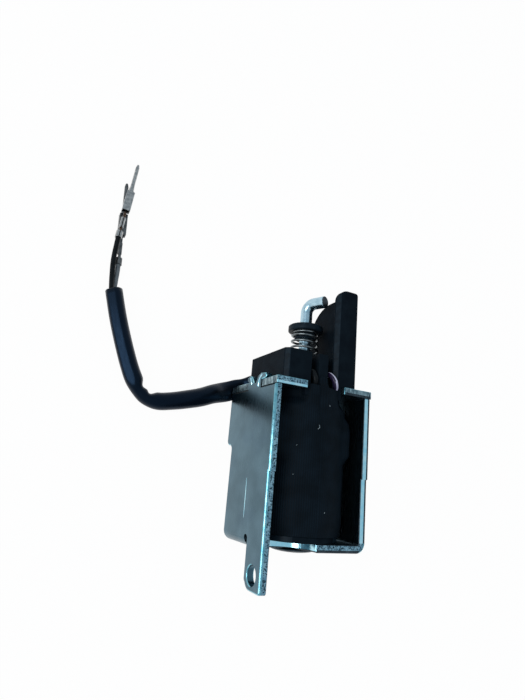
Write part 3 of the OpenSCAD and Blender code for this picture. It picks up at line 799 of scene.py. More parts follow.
@dataclass
class Studio:
    """The photograph's camera, a pale floor and soft light."""

    # The camera's picture height and focal length in pixels, its place in millimetres, the ways that it looks and
    # that its top points, and the height of its film in millimetres
    image_height: float = 700.0
    focal_px: float = 496.66
    camera_place: Triple = (-65.83, -26.64, 118.65)
    camera_look: Triple = (0.4318, 0.3720, -0.8216)
    camera_over: Triple = (-0.1902, 0.9281, 0.3202)
    film: float = 36.0
    near_clip: float = 0.005
    floor_half: float = 2.0
    paper: str = "#f4f5f6"
    white: str = "#ffffff"
    white_share: float = 0.97
    sky_tone: str = "#cfdbe4"
    sky_level: float = 0.8
    # The lamp's place and the length of its sides in metres, and how bright it makes a white card that faces it
    lamp_place: Triple = (-0.5, -0.05, 0.3)
    lamp_size: float = 0.3
    lamp_level: float = 0.35

    def camera(self) -> None:
        """Stands the camera where the photograph was taken."""
        ahead = Vector(self.camera_look).normalized()
        right = ahead.cross(Vector(self.camera_over)).normalized()
        over = right.cross(ahead)
        lens = bpy.data.cameras.new("photo_camera")
        lens.sensor_fit = "VERTICAL"
        lens.sensor_height = self.film
        lens.lens = self.focal_px * self.film / self.image_height
        lens.clip_start = self.near_clip
        view = bpy.data.objects.new("photo_camera", lens)
        turn = Matrix((right, over, -ahead)).transposed().to_4x4()
        view.matrix_world = Matrix.Translation(Vector(self.camera_place) * MM) @ turn
        bpy.context.scene.collection.objects.link(view)
        bpy.context.scene.camera = view
        bpy.context.scene.view_settings.view_transform = "Standard"

    def floor(self) -> None:
        """Lays the floor: white to the camera and in reflections, with a faint shadow kept."""
        material = bpy.data.materials.new("white_paper_sweep")
        material.use_nodes = True
        tree = material.node_tree
        tree.nodes.clear()
        paper = add(tree, "ShaderNodeBsdfDiffuse", {"Color": linear(self.paper)})
        glow = add(tree, "ShaderNodeEmission", {"Color": linear(self.white), "Strength": 1.0})
        rays = add(tree, "ShaderNodeLightPath")
        seen = rays.outputs["Is Camera Ray"]
        for kind in ("Is Glossy Ray", "Is Transmission Ray"):
            seen = add(tree, "ShaderNodeMath", {0: seen, 1: rays.outputs[kind]}, operation="MAXIMUM").outputs[0]
        share = add(tree, "ShaderNodeMath", {0: seen, 1: self.white_share}, operation="MULTIPLY")
        both = add(tree, "ShaderNodeMixShader", {0: share.outputs[0], 1: paper.outputs[0], 2: glow.outputs[0]})
        add(tree, "ShaderNodeOutputMaterial", {"Surface": both.outputs[0]})
        mesh = bpy.data.meshes.new("floor")
        half = self.floor_half
        mesh.from_pydata([(-half, -half, 0), (half, -half, 0), (half, half, 0), (-half, half, 0)], [], [(0, 1, 2, 3)])
        mesh.materials.append(material)
        sweep = bpy.data.objects.new("floor", mesh)
        bpy.context.scene.collection.objects.link(sweep)

    def lamp(self) -> None:
        """Hangs a soft square lamp that looks at the part, as a window does."""
        light = bpy.data.lights.new("key_window", "AREA")
        light.shape = "SQUARE"
        light.size = self.lamp_size
        spot = Vector(self.lamp_place)
        light.energy = self.lamp_level * math.pi ** 2 * spot.length_squared
        lamp = bpy.data.objects.new("key_window", light)
        lamp.location = spot
        lamp.rotation_euler = (-spot).to_track_quat("-Z", "Y").to_euler()
        bpy.context.scene.collection.objects.link(lamp)

    def sky(self) -> None:
        """Makes the sky: soft light on the part, and white to the camera."""
        world = bpy.data.worlds.new("soft_sky")
        world.use_nodes = True
        tree = world.node_tree
        sky = tree.nodes["Background"]
        sky.inputs["Color"].default_value = linear(self.sky_tone)
        sky.inputs["Strength"].default_value = self.sky_level
        white = add(tree, "ShaderNodeBackground", {"Color": linear(self.white), "Strength": 1.0})
        rays = add(tree, "ShaderNodeLightPath")
        both = add(tree, "ShaderNodeMixShader", {0: rays.outputs["Is Camera Ray"], 1: sky.outputs[0],
                                                 2: white.outputs[0]})
        tree.links.new(both.outputs[0], tree.nodes["World Output"].inputs["Surface"])
        bpy.context.scene.world = world

    def build(self) -> None:
        """Makes the camera, the sky, the floor and the lamp."""
        self.camera()
        self.sky()
        self.floor()
        self.lamp()


@dataclass
class SleevedLead:
    """The vinyl sleeve over the two leads, and the wire ends with their crimped pins."""

    sleeve_d: float = 4.3
    sleeve_wall: float = 0.45
    lip_round: float = 0.12
    lip_shares: Pair = (0.25, 0.75)
    mouth: float = 6.0
    ring_points: int = 32
    steps: int = 6
    wire_d: float = 1.3
    crimp_l: float = 2.0
    pin_round: float = 0.05
    strand_d: float = 0.7
    strand_count: int = 6
    strand_turns: float = 0.8
    strand_sides: int = 8
    core_steps: int = 4
    bare_l: float = 6.62
    # Where the pinch lies on the route, in stops, and its folds: their reach, mean depth, swing and pitch
    pinch_at: float = 11.5
    fold_reach: float = 3.0
    fold_mean: float = 0.2
    fold_swing: float = 0.22
    fold_pitch: float = 4.0
    # The flat pressed along the free end: its lean from upright in degrees, its depth as a share of the radius, and
    # the stops beyond the pinch over which it deepens
    flat_lean: float = 36.0
    flat_depth: float = 0.15
    flat_reach: float = 2.0
    entry: Triple = (-6.25, 40.3, -11.45)
    entry_shift: Triple = (0.6, 0.0, 0.3)
    entry_span: Pair = (0.95, 0.8)
    # The route along the table, with the sleeve's half width and half height as shares of its radius
    route: Sequence[tuple[float, float, float, float, float]] = (
        (-7.2, 4.1, 3.2, 1, 0.6), (-9.2, 3.1, 1.15, 1.1, 0.42), (-11.5, 2.1, 0.867, 1.25, 0.38),
        (-13.5, 1.3, 0.867, 1.25, 0.38), (-16, 0.35, 1.2, 1.25, 0.55), (-19, -0.75, 1.9, 1.17, 0.85),
        (-22.5, -2.25, 2.15, 1.12, 1), (-26.5, -3.45, 2.15, 1.08, 1), (-30, -4.35, 2.15, 1.03, 1),
        (-33.5, -4.9, 2.15, 1, 1), (-36.4, -4.4, 1.9, 0.8, 0.88), (-38.3, -2.8, 1.9, 0.8, 0.88),
        (-39.8, -0.4, 2.15, 1, 1), (-41.4, 3, 2.15, 1, 1), (-43.5, 8.6, 2.15, 1, 1), (-45.6, 15, 2.15, 1, 1),
        (-47.5, 22, 2.15, 1, 1))
    # Each crimp's place on the table, and its terminal's dip and heading in degrees
    upper_crimp: Triple = (-48.57, 36.9, 3.27)
    upper_turn: Pair = (-2.6, -6.0)
    lower_crimp: Triple = (-47.25, 30.2, 1.02)
    lower_turn: Pair = (-0.4, 1.6)
    black_route: Sequence[Triple] = (
        (-47.6, 17.5, 2.5), (-48, 20.8, 2.3), (-48.2, 22.4, 2.15), (-48.42, 26, 1.6), (-48.75, 31, 2.05))
    grey_route: Sequence[Triple] = (
        (-46.2, 17.5, 2.1), (-46.95, 20.8, 1.35), (-47.38, 22.4, 1.1), (-47.3, 25, 0.95), (-47.2, 28.2, 0.9))

    def crimp_frame(self, place: Triple, turn: Pair) -> Matrix:
        """Gives the frame of a terminal at its place and turn, whose Y runs from its crimp to its pin."""
        heading = Matrix.Rotation(math.radians(turn[1]), 4, "Z") @ Matrix.Rotation(math.radians(turn[0]), 4, "X")
        return Matrix.Translation(tabled(*place)) @ heading

    def section(self, k: int, middle: Vector, ahead: Vector, share: Vector, pinch: Vector) -> list[Vector]:
        """Draws the sleeve's outer ring at a step of its path: an oval with the flat and the pinch's folds.

        Args:
            k: The step's number.
            middle: The ring's middle.
            ahead: The way that the path runs there.
            share: The ring's half width and half height, as shares of the radius.
            pinch: The pinch's middle.

        Returns:
            The ring's points.
        """
        radius = self.sleeve_d / 2
        side = Vector((0, 0, 1)).cross(ahead).normalized()
        over = ahead.cross(side)
        ring = oval(middle, side, over, (radius * share.x, radius * share.y), self.ring_points)
        lean = math.radians(self.flat_lean)
        facing = over * math.cos(lean) + side * math.sin(lean)
        pressed = ease(self.pinch_at * self.steps, (self.pinch_at + self.flat_reach) * self.steps, k)
        limit = radius * MM * (1 - self.flat_depth * pressed)
        ring = [p - facing * max(0.0, (p - middle).dot(facing) - limit) for p in ring]
        near = (middle - pinch).length / MM
        wave = self.fold_mean - self.fold_swing * math.cos(math.tau * near / self.fold_pitch)
        folds = math.exp(-(near / self.fold_reach) ** 2) * wave
        return [p + (middle - p) * folds * max(0.0, -(p - middle).normalized().dot(side)) for p in ring]

    def sleeve(self) -> tuple[Piece, list[Vector]]:
        """Builds the sleeve as a tube with a wall, pressed flat under the yoke and pinched at its bend.

        Returns:
            The sleeve and its middle line.
        """
        start = upright(*self.entry) + Vector(self.entry_shift) * MM
        path = smooth_path([start] + [tabled(*stop[:3]) for stop in self.route], self.steps)
        spans = [self.entry_span, *(stop[3:] for stop in self.route)]
        shares = smooth_path([Vector((*span, 0)) for span in spans], self.steps)
        ways = headings(path)
        pinch = path[int(self.pinch_at * self.steps)]
        outer = [self.section(k, *stop, pinch) for k, stop in enumerate(zip(path, ways, shares))]
        bores = [[p + (middle - p).normalized() * self.sleeve_wall * MM for p in ring]
                 for middle, ring in zip(path, outer)]

        def lip(end: int, way: Vector) -> list[list[Vector]]:
            """Draws the two rings of the lip round one end, from the outside in."""
            walls = list(zip(outer[end], bores[end]))
            return [[(p * (1 - s) + q * s) + way * self.lip_round * MM for p, q in walls] for s in self.lip_shares]

        depth = max(2, round(self.mouth / (run(path) / MM / (len(path) - 1))))
        rings = [*bores[depth::-1], *lip(0, -ways[0])[::-1], *outer, *lip(-1, ways[-1]), *bores[:-depth - 1:-1]]
        piece = finish_mesh("vinyl_sleeve", loft(rings), [VINYL], sharp=50)
        report(piece, "frame", "cable_sleeve")
        return piece, path

    def tail(self, name: str, node: str, finish: Finish, route: Sequence[Triple], crimp: Matrix) -> Piece:
        """Builds a wire end from inside the sleeve to its crimp.

        Args:
            name: The piece's name.
            node: The node that it replaces.
            finish: Its insulation.
            route: Its points on the table, up to the crimp.
            crimp: Its terminal's frame.

        Returns:
            The wire end.
        """
        ends = [crimp.translation, crimp @ Vector((0, self.crimp_l * MM, 0))]
        piece = wire_piece(name, [finish], [tabled(*stop) for stop in route] + ends, self.wire_d)
        return report(piece, "frame", node)

    def strand_tree(self) -> Tree:
        """Makes the node tree of one bundle of twisted strands, which runs up its own Z.

        Returns:
            The tree.
        """
        tree, given = started("twisted_strands", ["Strands"], ["Strand Radius", "Bundle Radius", "Length", "Turns"])
        helix = add(tree, "GeometryNodeCurveSpiral", {"Resolution": 24, "Rotations": given["Turns"],
                    "Start Radius": given["Bundle Radius"], "End Radius": given["Bundle Radius"],
                    "Height": given["Length"]})
        spots = add(tree, "GeometryNodePoints", {"Count": given["Strands"]})
        number = add(tree, "GeometryNodeInputIndex")
        step = add(tree, "ShaderNodeMath", {0: math.tau, 1: given["Strands"]}, operation="DIVIDE")
        turn = add(tree, "ShaderNodeMath", {0: number.outputs[0], 1: step.outputs[0]}, operation="MULTIPLY")
        spin = add(tree, "ShaderNodeCombineXYZ", {"Z": turn.outputs[0]})
        copies = add(tree, "GeometryNodeInstanceOnPoints", {"Points": spots.outputs[0], "Instance": helix.outputs[0],
                     "Rotation": spin.outputs[0]})
        lines = add(tree, "GeometryNodeRealizeInstances", {"Geometry": copies.outputs[0]})
        return ended(tree, lines.outputs[0], given["Strand Radius"], self.strand_sides, given["Finish"])

    def strands(self, crimps: Sequence[Matrix]) -> Piece:
        """Builds the bared ends: each a core strand with others twisted round it.

        Args:
            crimps: The terminals' frames.

        Returns:
            One piece with both ends.
        """
        thick = self.strand_d / 3
        sizes = {"Strands": self.strand_count, "Strand Radius": thick / 2 * MM, "Bundle Radius": thick * MM,
                 "Length": self.bare_l * MM, "Turns": self.strand_turns, "Finish": COPPER.material()}
        bundle = grown("strand_bundle", self.strand_tree(), sizes)
        parts = []
        for crimp in crimps:
            stand = crimp @ Matrix.Translation((0, self.crimp_l * MM, 0)) @ Matrix.Rotation(-math.pi / 2, 4, "X")
            twisted = bundle.copy()
            twisted.transform(stand)
            base, tip = stand @ Vector(), stand @ Vector((0, 0, self.bare_l * MM))
            stops = [base.lerp(tip, k / self.core_steps) for k in range(self.core_steps + 1)]
            core = wire_mesh(stops, thick, RIGHT, count=self.strand_sides)
            parts += [(twisted, 0), (core, 0)]
        bpy.data.meshes.remove(bundle)
        mesh = set_down("bared_strands", take_in(bmesh.new(), parts))
        return report(finish_mesh("bared_strands", mesh, [COPPER], sharp=60), "frame", "strand_ends")

    def build(self) -> None:
        sleeve, line = self.sleeve()
        upper = self.crimp_frame(self.upper_crimp, self.upper_turn)
        lower = self.crimp_frame(self.lower_crimp, self.lower_turn)
        black = self.tail("black_wire_end", "tail_black", BLACK_WIRE, self.black_route, upper)
        grey = self.tail("grey_wire_end", "tail_grey", GREY_WIRE, self.grey_route, lower)
        # The lower pin takes the tin in painted shade
        pins = [NodeCopy("terminal_upper", "upper_pin", (TIN,), radius=self.pin_round).build(),
                NodeCopy("terminal_lower", "lower_pin", (SHADED_TIN,), radius=self.pin_round).build()]
        bared = self.strands((upper, lower))


@dataclass
class Yoke:
    """The bent strip with its tab and staked tenons, and the plate staked to it."""

    wall_outer: float = 13.5
    wall_top: float = 36.0
    sheet: float = 1.8
    bend_outer: float = 2.3
    tab_line: float = -10.0
    tab_rear: float = 3.0
    hole_mid: Pair = (-5.2, 6.3)
    hole_r: float = 2.1
    hole_rim: float = 0.25
    relief_top: float = 2.9
    relief_low: float = -0.5
    relief_rear: float = 1.0
    relief_front: float = 3.2
    notch_end: float = 0.3
    notch_top: float = 1.9
    notch_rear: float = 2.6
    notch_front: float = 10.25
    # How far a face leans at most if it is a side of the hole or the cut-out, and how squarely the plate's flats lie
    hole_lean: float = 0.5
    notch_lean: float = 0.3
    plate_flat: float = 0.7
    # The band that the die burnished, the seam's height and depth under the plate, and the radii of the edges
    burnished: float = 0.66
    seam_h: float = 0.3
    seam_d: float = 0.5
    rolled: float = 0.34
    inner: float = 0.14
    plain: float = 0.1
    horn_round: float = 0.2
    hole_round: float = 0.2
    # How near a height or a depth an edge's or a face's middle lies if it belongs to it
    near: float = 0.05
    edge_near: float = 0.06
    edge_band: float = 0.2
    # The scribed line on the left wall and the lips that staking raised, as heights and depths along them, and the
    # width and rise of each, the share of its length at which it is cut off, and how deep it is rooted
    scribe: Sequence[Pair] = ((14.8, 0.2), (10.1, 0.26), (5.9, 0.27))
    scribe_size: Pair = (0.36, 0.03)
    lips: Sequence[Sequence[Pair]] = (
        ((36.1, 1.95), (36.9, 2.03), (37.6, 2.28), (38.45, 2.87), (38.95, 3.6)),
        ((37.0, -1.75), (37.7, -1.85), (38.4, -2.15), (38.9, -2.6)))
    lip_size: Pair = (0.55, 0.14)
    ridge_taper: float = 0.06
    ridge_root: float = 0.02
    ridge_steps: int = 6

    def depth(self, spot: Vector) -> float:
        """Gives how far a point of the strip lies inside its outer face.

        Args:
            spot: The point, in upright millimetres.

        Returns:
            The depth in millimetres.
        """
        turn = self.wall_outer - self.bend_outer
        tab = spot.x < -turn and spot.z > self.tab_rear - self.near
        if spot.y > self.bend_outer or tab:
            return self.wall_outer - abs(spot.x)
        if abs(spot.x) < turn:
            return spot.y
        return self.bend_outer - math.hypot(abs(spot.x) - turn, self.bend_outer - spot.y)

    def in_hole(self, spot: Vector) -> bool:
        """Tells whether a point lies in the tab's hole or on its rim."""
        return math.hypot(spot.y - self.hole_mid[0], spot.z - self.hole_mid[1]) < self.hole_r + self.hole_rim

    def in_relief(self, spot: Vector) -> bool:
        """Tells whether a point lies in the relief cut behind the tab."""
        return spot.x < self.tab_line and spot.y < self.relief_top and self.relief_rear < spot.z < self.relief_front

    def in_notch(self, spot: Vector) -> bool:
        """Tells whether a point lies on the edge of the cut-out beside the tab."""
        clear = self.sheet - self.wall_outer < spot.x < self.notch_end
        return clear and spot.y < self.notch_top and self.notch_rear < spot.z < self.notch_front

    def face(self, middle: Vector, normal: Vector) -> Finish:
        """Sorts the strip's faces: plated, or where it was sheared, torn, burnished or rubbed, with painted highlight
        and shade on the front edges and painted shade in the relief cut.

        Args:
            middle: The face's middle, in upright millimetres.
            normal: The way that it looks on the upright part.

        Returns:
            Its finish.
        """
        # The relief cut's recess is painted with shade
        if self.in_relief(middle) and middle.y > self.relief_low:
            return SEAM_SHADE
        if abs(normal.x) < self.hole_lean and self.in_hole(middle):
            return ZINC
        if abs(normal.y) < self.notch_lean and self.in_notch(middle):
            return BURNISHED_HIGHLIGHT
        if abs(normal.z) < FACING:
            return ZINC
        outer = self.depth(middle) < self.burnished
        # The right wall's front: painted shade on its outer band, which turns from the light, and painted highlight
        # inside it
        if normal.z > 0 and middle.x > 0 and middle.y > self.bend_outer:
            return CUT_END_AND_SHADE if outer else BURNISHED_HIGHLIGHT
        # The lower band of the bottom's front is painted with shade
        if outer:
            return CUT_END_AND_SHADE if middle.y < self.burnished and middle.x > self.tab_line else RUBBED_BLUE_LIT
        return TORN_HIGHLIGHT

    def edge(self, middle: Vector) -> float:
        """Gives an edge's radius: rolled along the outer face, plain along the inner one, round on the horns.

        Args:
            middle: The edge's middle, in upright millimetres.

        Returns:
            The radius in millimetres.
        """
        inside = self.depth(middle)
        if self.in_relief(middle) or self.edge_near < inside < self.sheet - self.edge_near:
            return 0.0
        if self.in_hole(middle):
            return self.hole_round
        if middle.y > self.wall_top + self.near:
            return self.horn_round
        return self.rolled if inside < self.edge_near else self.inner

    def worn(self, middle: Vector, normal: Vector, now: Finish) -> Finish:
        """Sorts the broken edges: painted shade in the seam, on the inner side, along the bottom and where they turn
        from the light, rubbed on the horns.

        Args:
            middle: The face's middle, in upright millimetres.
            normal: The way that it looks on the upright part.
            now: Its finish so far.

        Returns:
            Its finish.
        """
        if middle.y > PLATE_TOP + self.near:
            return BURNISHED_HIGHLIGHT if now is BURNISHED_HIGHLIGHT else RUBBED_BLUE_LIT
        if abs(normal.z) > FLAT:
            return self.face(middle, normal)
        if now is not RUBBED_BLUE_LIT:
            return now
        # The seam's crease is painted with shade
        if middle.y > self.wall_top - self.seam_h and abs(middle.x) > self.wall_outer - self.seam_d:
            return SEAM_SHADE
        if self.in_hole(middle):
            return RUBBED_BLUE_LIT if middle.z < self.hole_mid[1] else ZINC
        # Painted shade on the inner side, along the bottom and on the right, where the edges turn from the light
        low = middle.y < self.rolled and middle.x > self.tab_line
        right = middle.x > self.wall_outer - self.rolled
        return CUT_END_AND_SHADE if self.depth(middle) > self.sheet - self.edge_band or low or right else RUBBED_BLUE_LIT

    def plate_face(self, middle: Vector, normal: Vector) -> Finish:
        """Sorts the plate's faces: plated above and below, and in front burnished under its torn half, both painted
        pale as highlight.

        Args:
            middle: The face's middle, in upright millimetres.
            normal: The way that it looks on the upright part.

        Returns:
            Its finish.
        """
        if abs(normal.y) > self.plate_flat:
            return ZINC
        if normal.z < FACING:
            return STRIATED
        if middle.y < self.wall_top + self.burnished:
            return BURNISHED_HIGHLIGHT if middle.x < 0 else CUT_END_AND_SHADE
        return TORN_HIGHLIGHT if middle.x < 0 else STRIATED

    def plate_worn(self, middle: Vector, normal: Vector, now: Finish) -> Finish:
        """Sorts the plate's broken edges: painted shade in the seam over the walls.

        Args:
            middle: The face's middle, in upright millimetres.
            normal: The way that it looks on the upright part.
            now: Its finish so far.

        Returns:
            Its finish.
        """
        if abs(normal.z) > FLAT:
            return self.plate_face(middle, normal)
        return SEAM_SHADE if now is RUBBED_BLUE_LIT and middle.y < self.wall_top + self.edge_band else now

    def ridge(self, stops: Sequence[Pair], size: Pair) -> Mesh:
        """Builds a fine ridge on the left wall that tapers at both ends.

        Args:
            stops: The heights and depths of the points that it runs through.
            size: Its width, and how far it stands out of the wall, in millimetres.

        Returns:
            The ridge's mesh.
        """
        width, rise = size
        path = smooth_path([upright(-self.wall_outer, y, z) for y, z in stops], self.ridge_steps)
        rings = []
        for k, (spot, ahead) in enumerate(zip(path, headings(path))):
            share = self.ridge_taper + (1 - 2 * self.ridge_taper) * k / (len(path) - 1)
            swell = math.sin(math.pi * share) ** 0.5
            across = ahead.cross(-RIGHT) * width / 2 * swell * MM
            crest, foot = RIGHT * -rise * swell * MM, RIGHT * self.ridge_root * MM
            rings.append([spot - across * 0.5 + crest, spot + across * 0.5 + crest,
                          spot + across + foot, spot - across + foot])
        return loft(rings)

    def build(self) -> None:
        """Builds the strip and the plate."""
        wall = self.wall_outer - self.burnished
        cuts = [(upright(-wall, 0, 0), RIGHT), (upright(wall, 0, 0), RIGHT), (upright(0, self.burnished, 0), UP),
                (upright(0, self.bend_outer, 0), UP)]
        ridges = [self.ridge(self.scribe, self.scribe_size), *(self.ridge(lip, self.lip_size) for lip in self.lips)]
        # The scribe and the staking lips are painted bright as highlights
        NodeCopy("yoke_frame", "yoke_strip", (ZINC, TORN_HIGHLIGHT, RUBBED_BLUE_LIT, SEAM_SHADE, BURNISHED_HIGHLIGHT, CUT_END_AND_SHADE), radius=self.rolled,
                 flatten=4, face_rule=self.face, edge_rule=self.edge, edge_finish=RUBBED_BLUE_LIT, last_rule=self.worn,
                 cuts=cuts, extras=[(ridge, BURNISHED_HIGHLIGHT) for ridge in ridges]).build()
        cuts = [(upright(0, self.wall_top + self.burnished, 0), UP)]
        NodeCopy("top_plate", "staked_plate", (ZINC, STRIATED, RUBBED_BLUE_LIT, SEAM_SHADE, BURNISHED_HIGHLIGHT, TORN_HIGHLIGHT, CUT_END_AND_SHADE),
                 radius=self.plain, face_rule=self.plate_face, edge_finish=RUBBED_BLUE_LIT, last_rule=self.plate_worn,
                 cuts=cuts).build()


@dataclass
class Coil:
    """The taped coil with the lead splices under the tape, and the tape's end up the bobbin's rib."""

    low: float = 3.2
    high: float = 36.0
    radius: float = 11.0
    wall: float = 0.4
    columns: int = 360
    rows: int = 120
    foot: float = 0.4
    foot_reach: float = 2.6
    shoulder_low: float = 32.0
    shoulder_high: float = 34.6
    neck_radius: float = 9.7
    # The plate's mouth, in degrees off the front: its side, and where the wrap's edge and its neck are all drawn in
    mouth_turn: float = 20.0
    edge_turn: float = 26.0
    neck_turn: float = 34.0
    front_rise: float = 1.1
    front_slant: float = 0.9
    # The humps over the splices: their angles, middle height, reach, rise, rounding, flat top and skirt
    splice_angles: Sequence[float] = (148.0, 38.0)
    splice_mid: float = 25.5
    splice_reach: float = 4.8
    splice_rise: float = 1.4
    splice_round: float = 1.5
    splice_top: float = 0.4
    splice_skirt: float = 3.0
    # The outer layer: its upper edge, the angle where it starts, its rise there and where it runs out
    wrap_edge: float = 28.1
    wrap_soft: float = 0.15
    wrap_turn: float = 93.0
    wrap_step: float = 1.2
    wrap_rise: float = 0.16
    wrap_out: Pair = (300.0, 320.0)
    # The slack in the cloth and its size across and along, and the pleats: their depth, how many there are to a
    # millimetre, and where they deepen, counted up from the shoulder's foot
    slack: float = 0.07
    slack_size: Pair = (4.0, 7.0)
    pleat: float = 0.06
    pleat_rate: float = 1.1
    pleat_span: Pair = (-1.5, 1.0)
    pleat_seed: float = 7.0
    # Lint fibres, each with its angle, height, lean and length
    fibres: Sequence[tuple[float, float, float, float]] = (
        (97, 27.4, 75, 1.1), (123, 22.9, 40, 0.3), (83, 32.7, 110, 0.3), (125, 16.4, 20, 0.28), (84, 8.6, 60, 0.2))
    fibre_d: float = 0.13
    fibre_lift: float = 0.05
    fibre_bow: float = 0.12
    fibre_steps: int = 6
    fibre_sides: int = 6
    # The tape's end on the rib: its middle, half width, rounding from a share of its length on, front and thickness,
    # its reach under the shoulder and over the plate, where it leaves the coil, its slack, and its selvage
    tongue_x: float = -0.3
    tongue_half: float = 1.23
    tongue_round: float = 0.5
    tongue_tip: float = 0.9
    tongue_front: float = 10.4
    tongue_t: float = 0.3
    tongue_rows: int = 40
    tongue_under: float = 1.6
    tongue_over: float = 1.8
    tongue_turn: float = 91.5
    tongue_lift: float = 0.02
    tongue_leaves: Pair = (0.7, 2.4)
    tongue_slack: float = 0.05
    tongue_slack_size: float = 1.7
    tongue_seed: float = 3.0
    selvage: float = 0.08
    selvage_drop: float = 0.06

    def off_front(self, angle: float) -> float:
        """Gives how many degrees an angle lies off the front."""
        return abs((angle + 90) % 360 - 180)

    def skin(self, angle: float, y: float) -> float:
        """Gives the tape's radius at an angle and a height.

        Args:
            angle: Degrees from the right towards the front.
            y: Height up the plunger.

        Returns:
            The radius in millimetres.
        """
        r = self.radius - self.foot * (1 - ease(self.low, self.low + self.foot_reach, y))
        necked = (self.radius - self.neck_radius) * ease(self.shoulder_low, self.shoulder_high, y)
        r -= necked * ease(self.mouth_turn, self.neck_turn, self.off_front(angle))
        for at in self.splice_angles:
            away = abs((angle - at + 180) % 360 - 180) * math.radians(1) * self.radius
            along = max(0.0, abs(y - self.splice_mid) - self.splice_reach + self.splice_round)
            hump = self.splice_rise * (1 - ease(self.splice_top, self.splice_skirt, away))
            r += hump * (1 - ease(0, self.splice_skirt, along))
        turned = (self.wrap_turn - angle) % 360
        wrapped = ease(0, self.wrap_step, turned) * (1 - ease(*self.wrap_out, turned))
        r += self.wrap_rise * wrapped * (1 - ease(self.wrap_edge - self.wrap_soft, self.wrap_edge + self.wrap_soft, y))
        around = Vector((math.cos(math.radians(angle)), math.sin(math.radians(angle)), 0)) * self.radius
        wide, tall = self.slack_size
        r += self.slack * noise.noise(Vector((around.x / wide, around.y / wide, y / tall)))
        pleats = self.pleat * ease(*(self.shoulder_low + reach for reach in self.pleat_span), y)
        rate = self.pleat_rate
        return r + pleats * noise.noise(Vector((around.x * rate, around.y * rate, self.pleat_seed)))

    def top(self, angle: float) -> float:
        """Gives the wrap's upper edge at an angle, which rises over the leads in the plate's mouth."""
        rise = self.front_rise - self.front_slant * math.cos(math.radians(angle))
        return self.high + rise * (1 - ease(self.mouth_turn, self.edge_turn, self.off_front(angle)))

    def spot(self, angle: float, y: float, inset: float = 0.0) -> Vector:
        """Gives the point at an angle and a height, so many millimetres inside the wrap's outer face."""
        r = self.skin(angle, y) - inset
        return upright(r * math.cos(math.radians(angle)), y, r * math.sin(math.radians(angle)))

    def tape(self) -> Mesh:
        """Builds the wrap as a closed tube.

        Returns:
            The wrap's mesh.
        """
        turns = [360 - 360 * k / self.columns for k in range(self.columns)]
        shares = [k / self.rows for k in range(self.rows + 1)]

        def ring(share: float, inset: float) -> list[Vector]:
            """Draws the wrap's ring at a share of its height, inset by so many millimetres."""
            return [self.spot(a, self.low + (self.top(a) - self.low) * share, inset) for a in turns]

        return loft([ring(s, 0) for s in shares] + [ring(s, self.wall) for s in reversed(shares)], closed=True)

    def lint(self) -> list[Mesh]:
        """Builds the lint: short bowed fibres that lie on the wrap.

        Returns:
            The fibres' meshes.
        """
        meshes = []
        for angle, y, lean, length in self.fibres:
            path = []
            for t in (k / self.fibre_steps - 0.5 for k in range(self.fibre_steps + 1)):
                across = t * length * math.cos(math.radians(lean)) + self.fibre_bow * length * math.cos(math.tau * t)
                path.append(self.spot(angle - math.degrees(across / self.radius),
                                      y + t * length * math.sin(math.radians(lean)), -self.fibre_lift))
            meshes.append(wire_mesh(path, self.fibre_d, OUT, count=self.fibre_sides))
        return meshes

    def tongue(self) -> Mesh:
        """Builds the tape's end, stuck up over the rib between the lead slots.

        Returns:
            The end's mesh.
        """
        low, high = self.shoulder_low - self.tongue_under, PLATE_TOP + self.tongue_over
        rings = []
        for k in range(self.tongue_rows + 1):
            share = k / self.tongue_rows
            y = low + (high - low) * k / self.tongue_rows
            wide = self.tongue_half - self.tongue_round * ease(self.tongue_tip, 1.0, share) ** 2
            coil = self.skin(self.tongue_turn, min(y, self.high)) + self.tongue_lift
            stuck = 1 - ease(*(self.high + reach for reach in self.tongue_leaves), y)
            front = self.tongue_front + (coil - self.tongue_front) * stuck
            front += self.tongue_slack * noise.noise(Vector((0, y / self.tongue_slack_size, self.tongue_seed)))
            inner = [wide * s for s in (-0.6, -0.2, 0.2, 0.6)]
            across = [-wide, self.selvage - wide, *inner, wide - self.selvage, wide]
            drops = [self.selvage_drop * (abs(x) == wide) for x in across]
            face = [upright(self.tongue_x + x, y, front - drop) for x, drop in zip(across, drops)]
            rear = [upright(self.tongue_x + x, y, front - self.tongue_t) for x in reversed(across)]
            rings.append((face + rear)[::-1])
        return loft(rings)

    def build(self) -> None:
        """Builds the tape and dresses what lies under it."""
        parts = [(self.tape(), 0), (self.tongue(), 0), *((fibre, 1) for fibre in self.lint())]
        mesh = set_down("cloth_tape", take_in(bmesh.new(), parts))
        report(finish_mesh("cloth_tape", mesh, [TAPE, LINT], sharp=60), "frame", "coil_tape")
        dress_nodes({"coil_winding": ENAMEL, "splice_left": COPPER, "splice_right": COPPER})


@dataclass
class Moulding:
    """The bobbin moulding: boss, guide tower and fin."""

    edge_round: float = 0.2
    chamfer: float = 0.5

    def face(self, middle: Vector, normal: Vector) -> Finish:
        """Sorts the moulding's faces: its front chamfers are rubbed."""
        return NYLON_EDGE if normal.z > self.chamfer and abs(normal.x) > self.chamfer else NYLON

    def build(self) -> None:
        """Builds the moulding with rubbed chamfers."""
        NodeCopy("bobbin", "bobbin_moulding", (NYLON, NYLON_EDGE), radius=self.edge_round, segments=3,
                 face_rule=self.face).build()


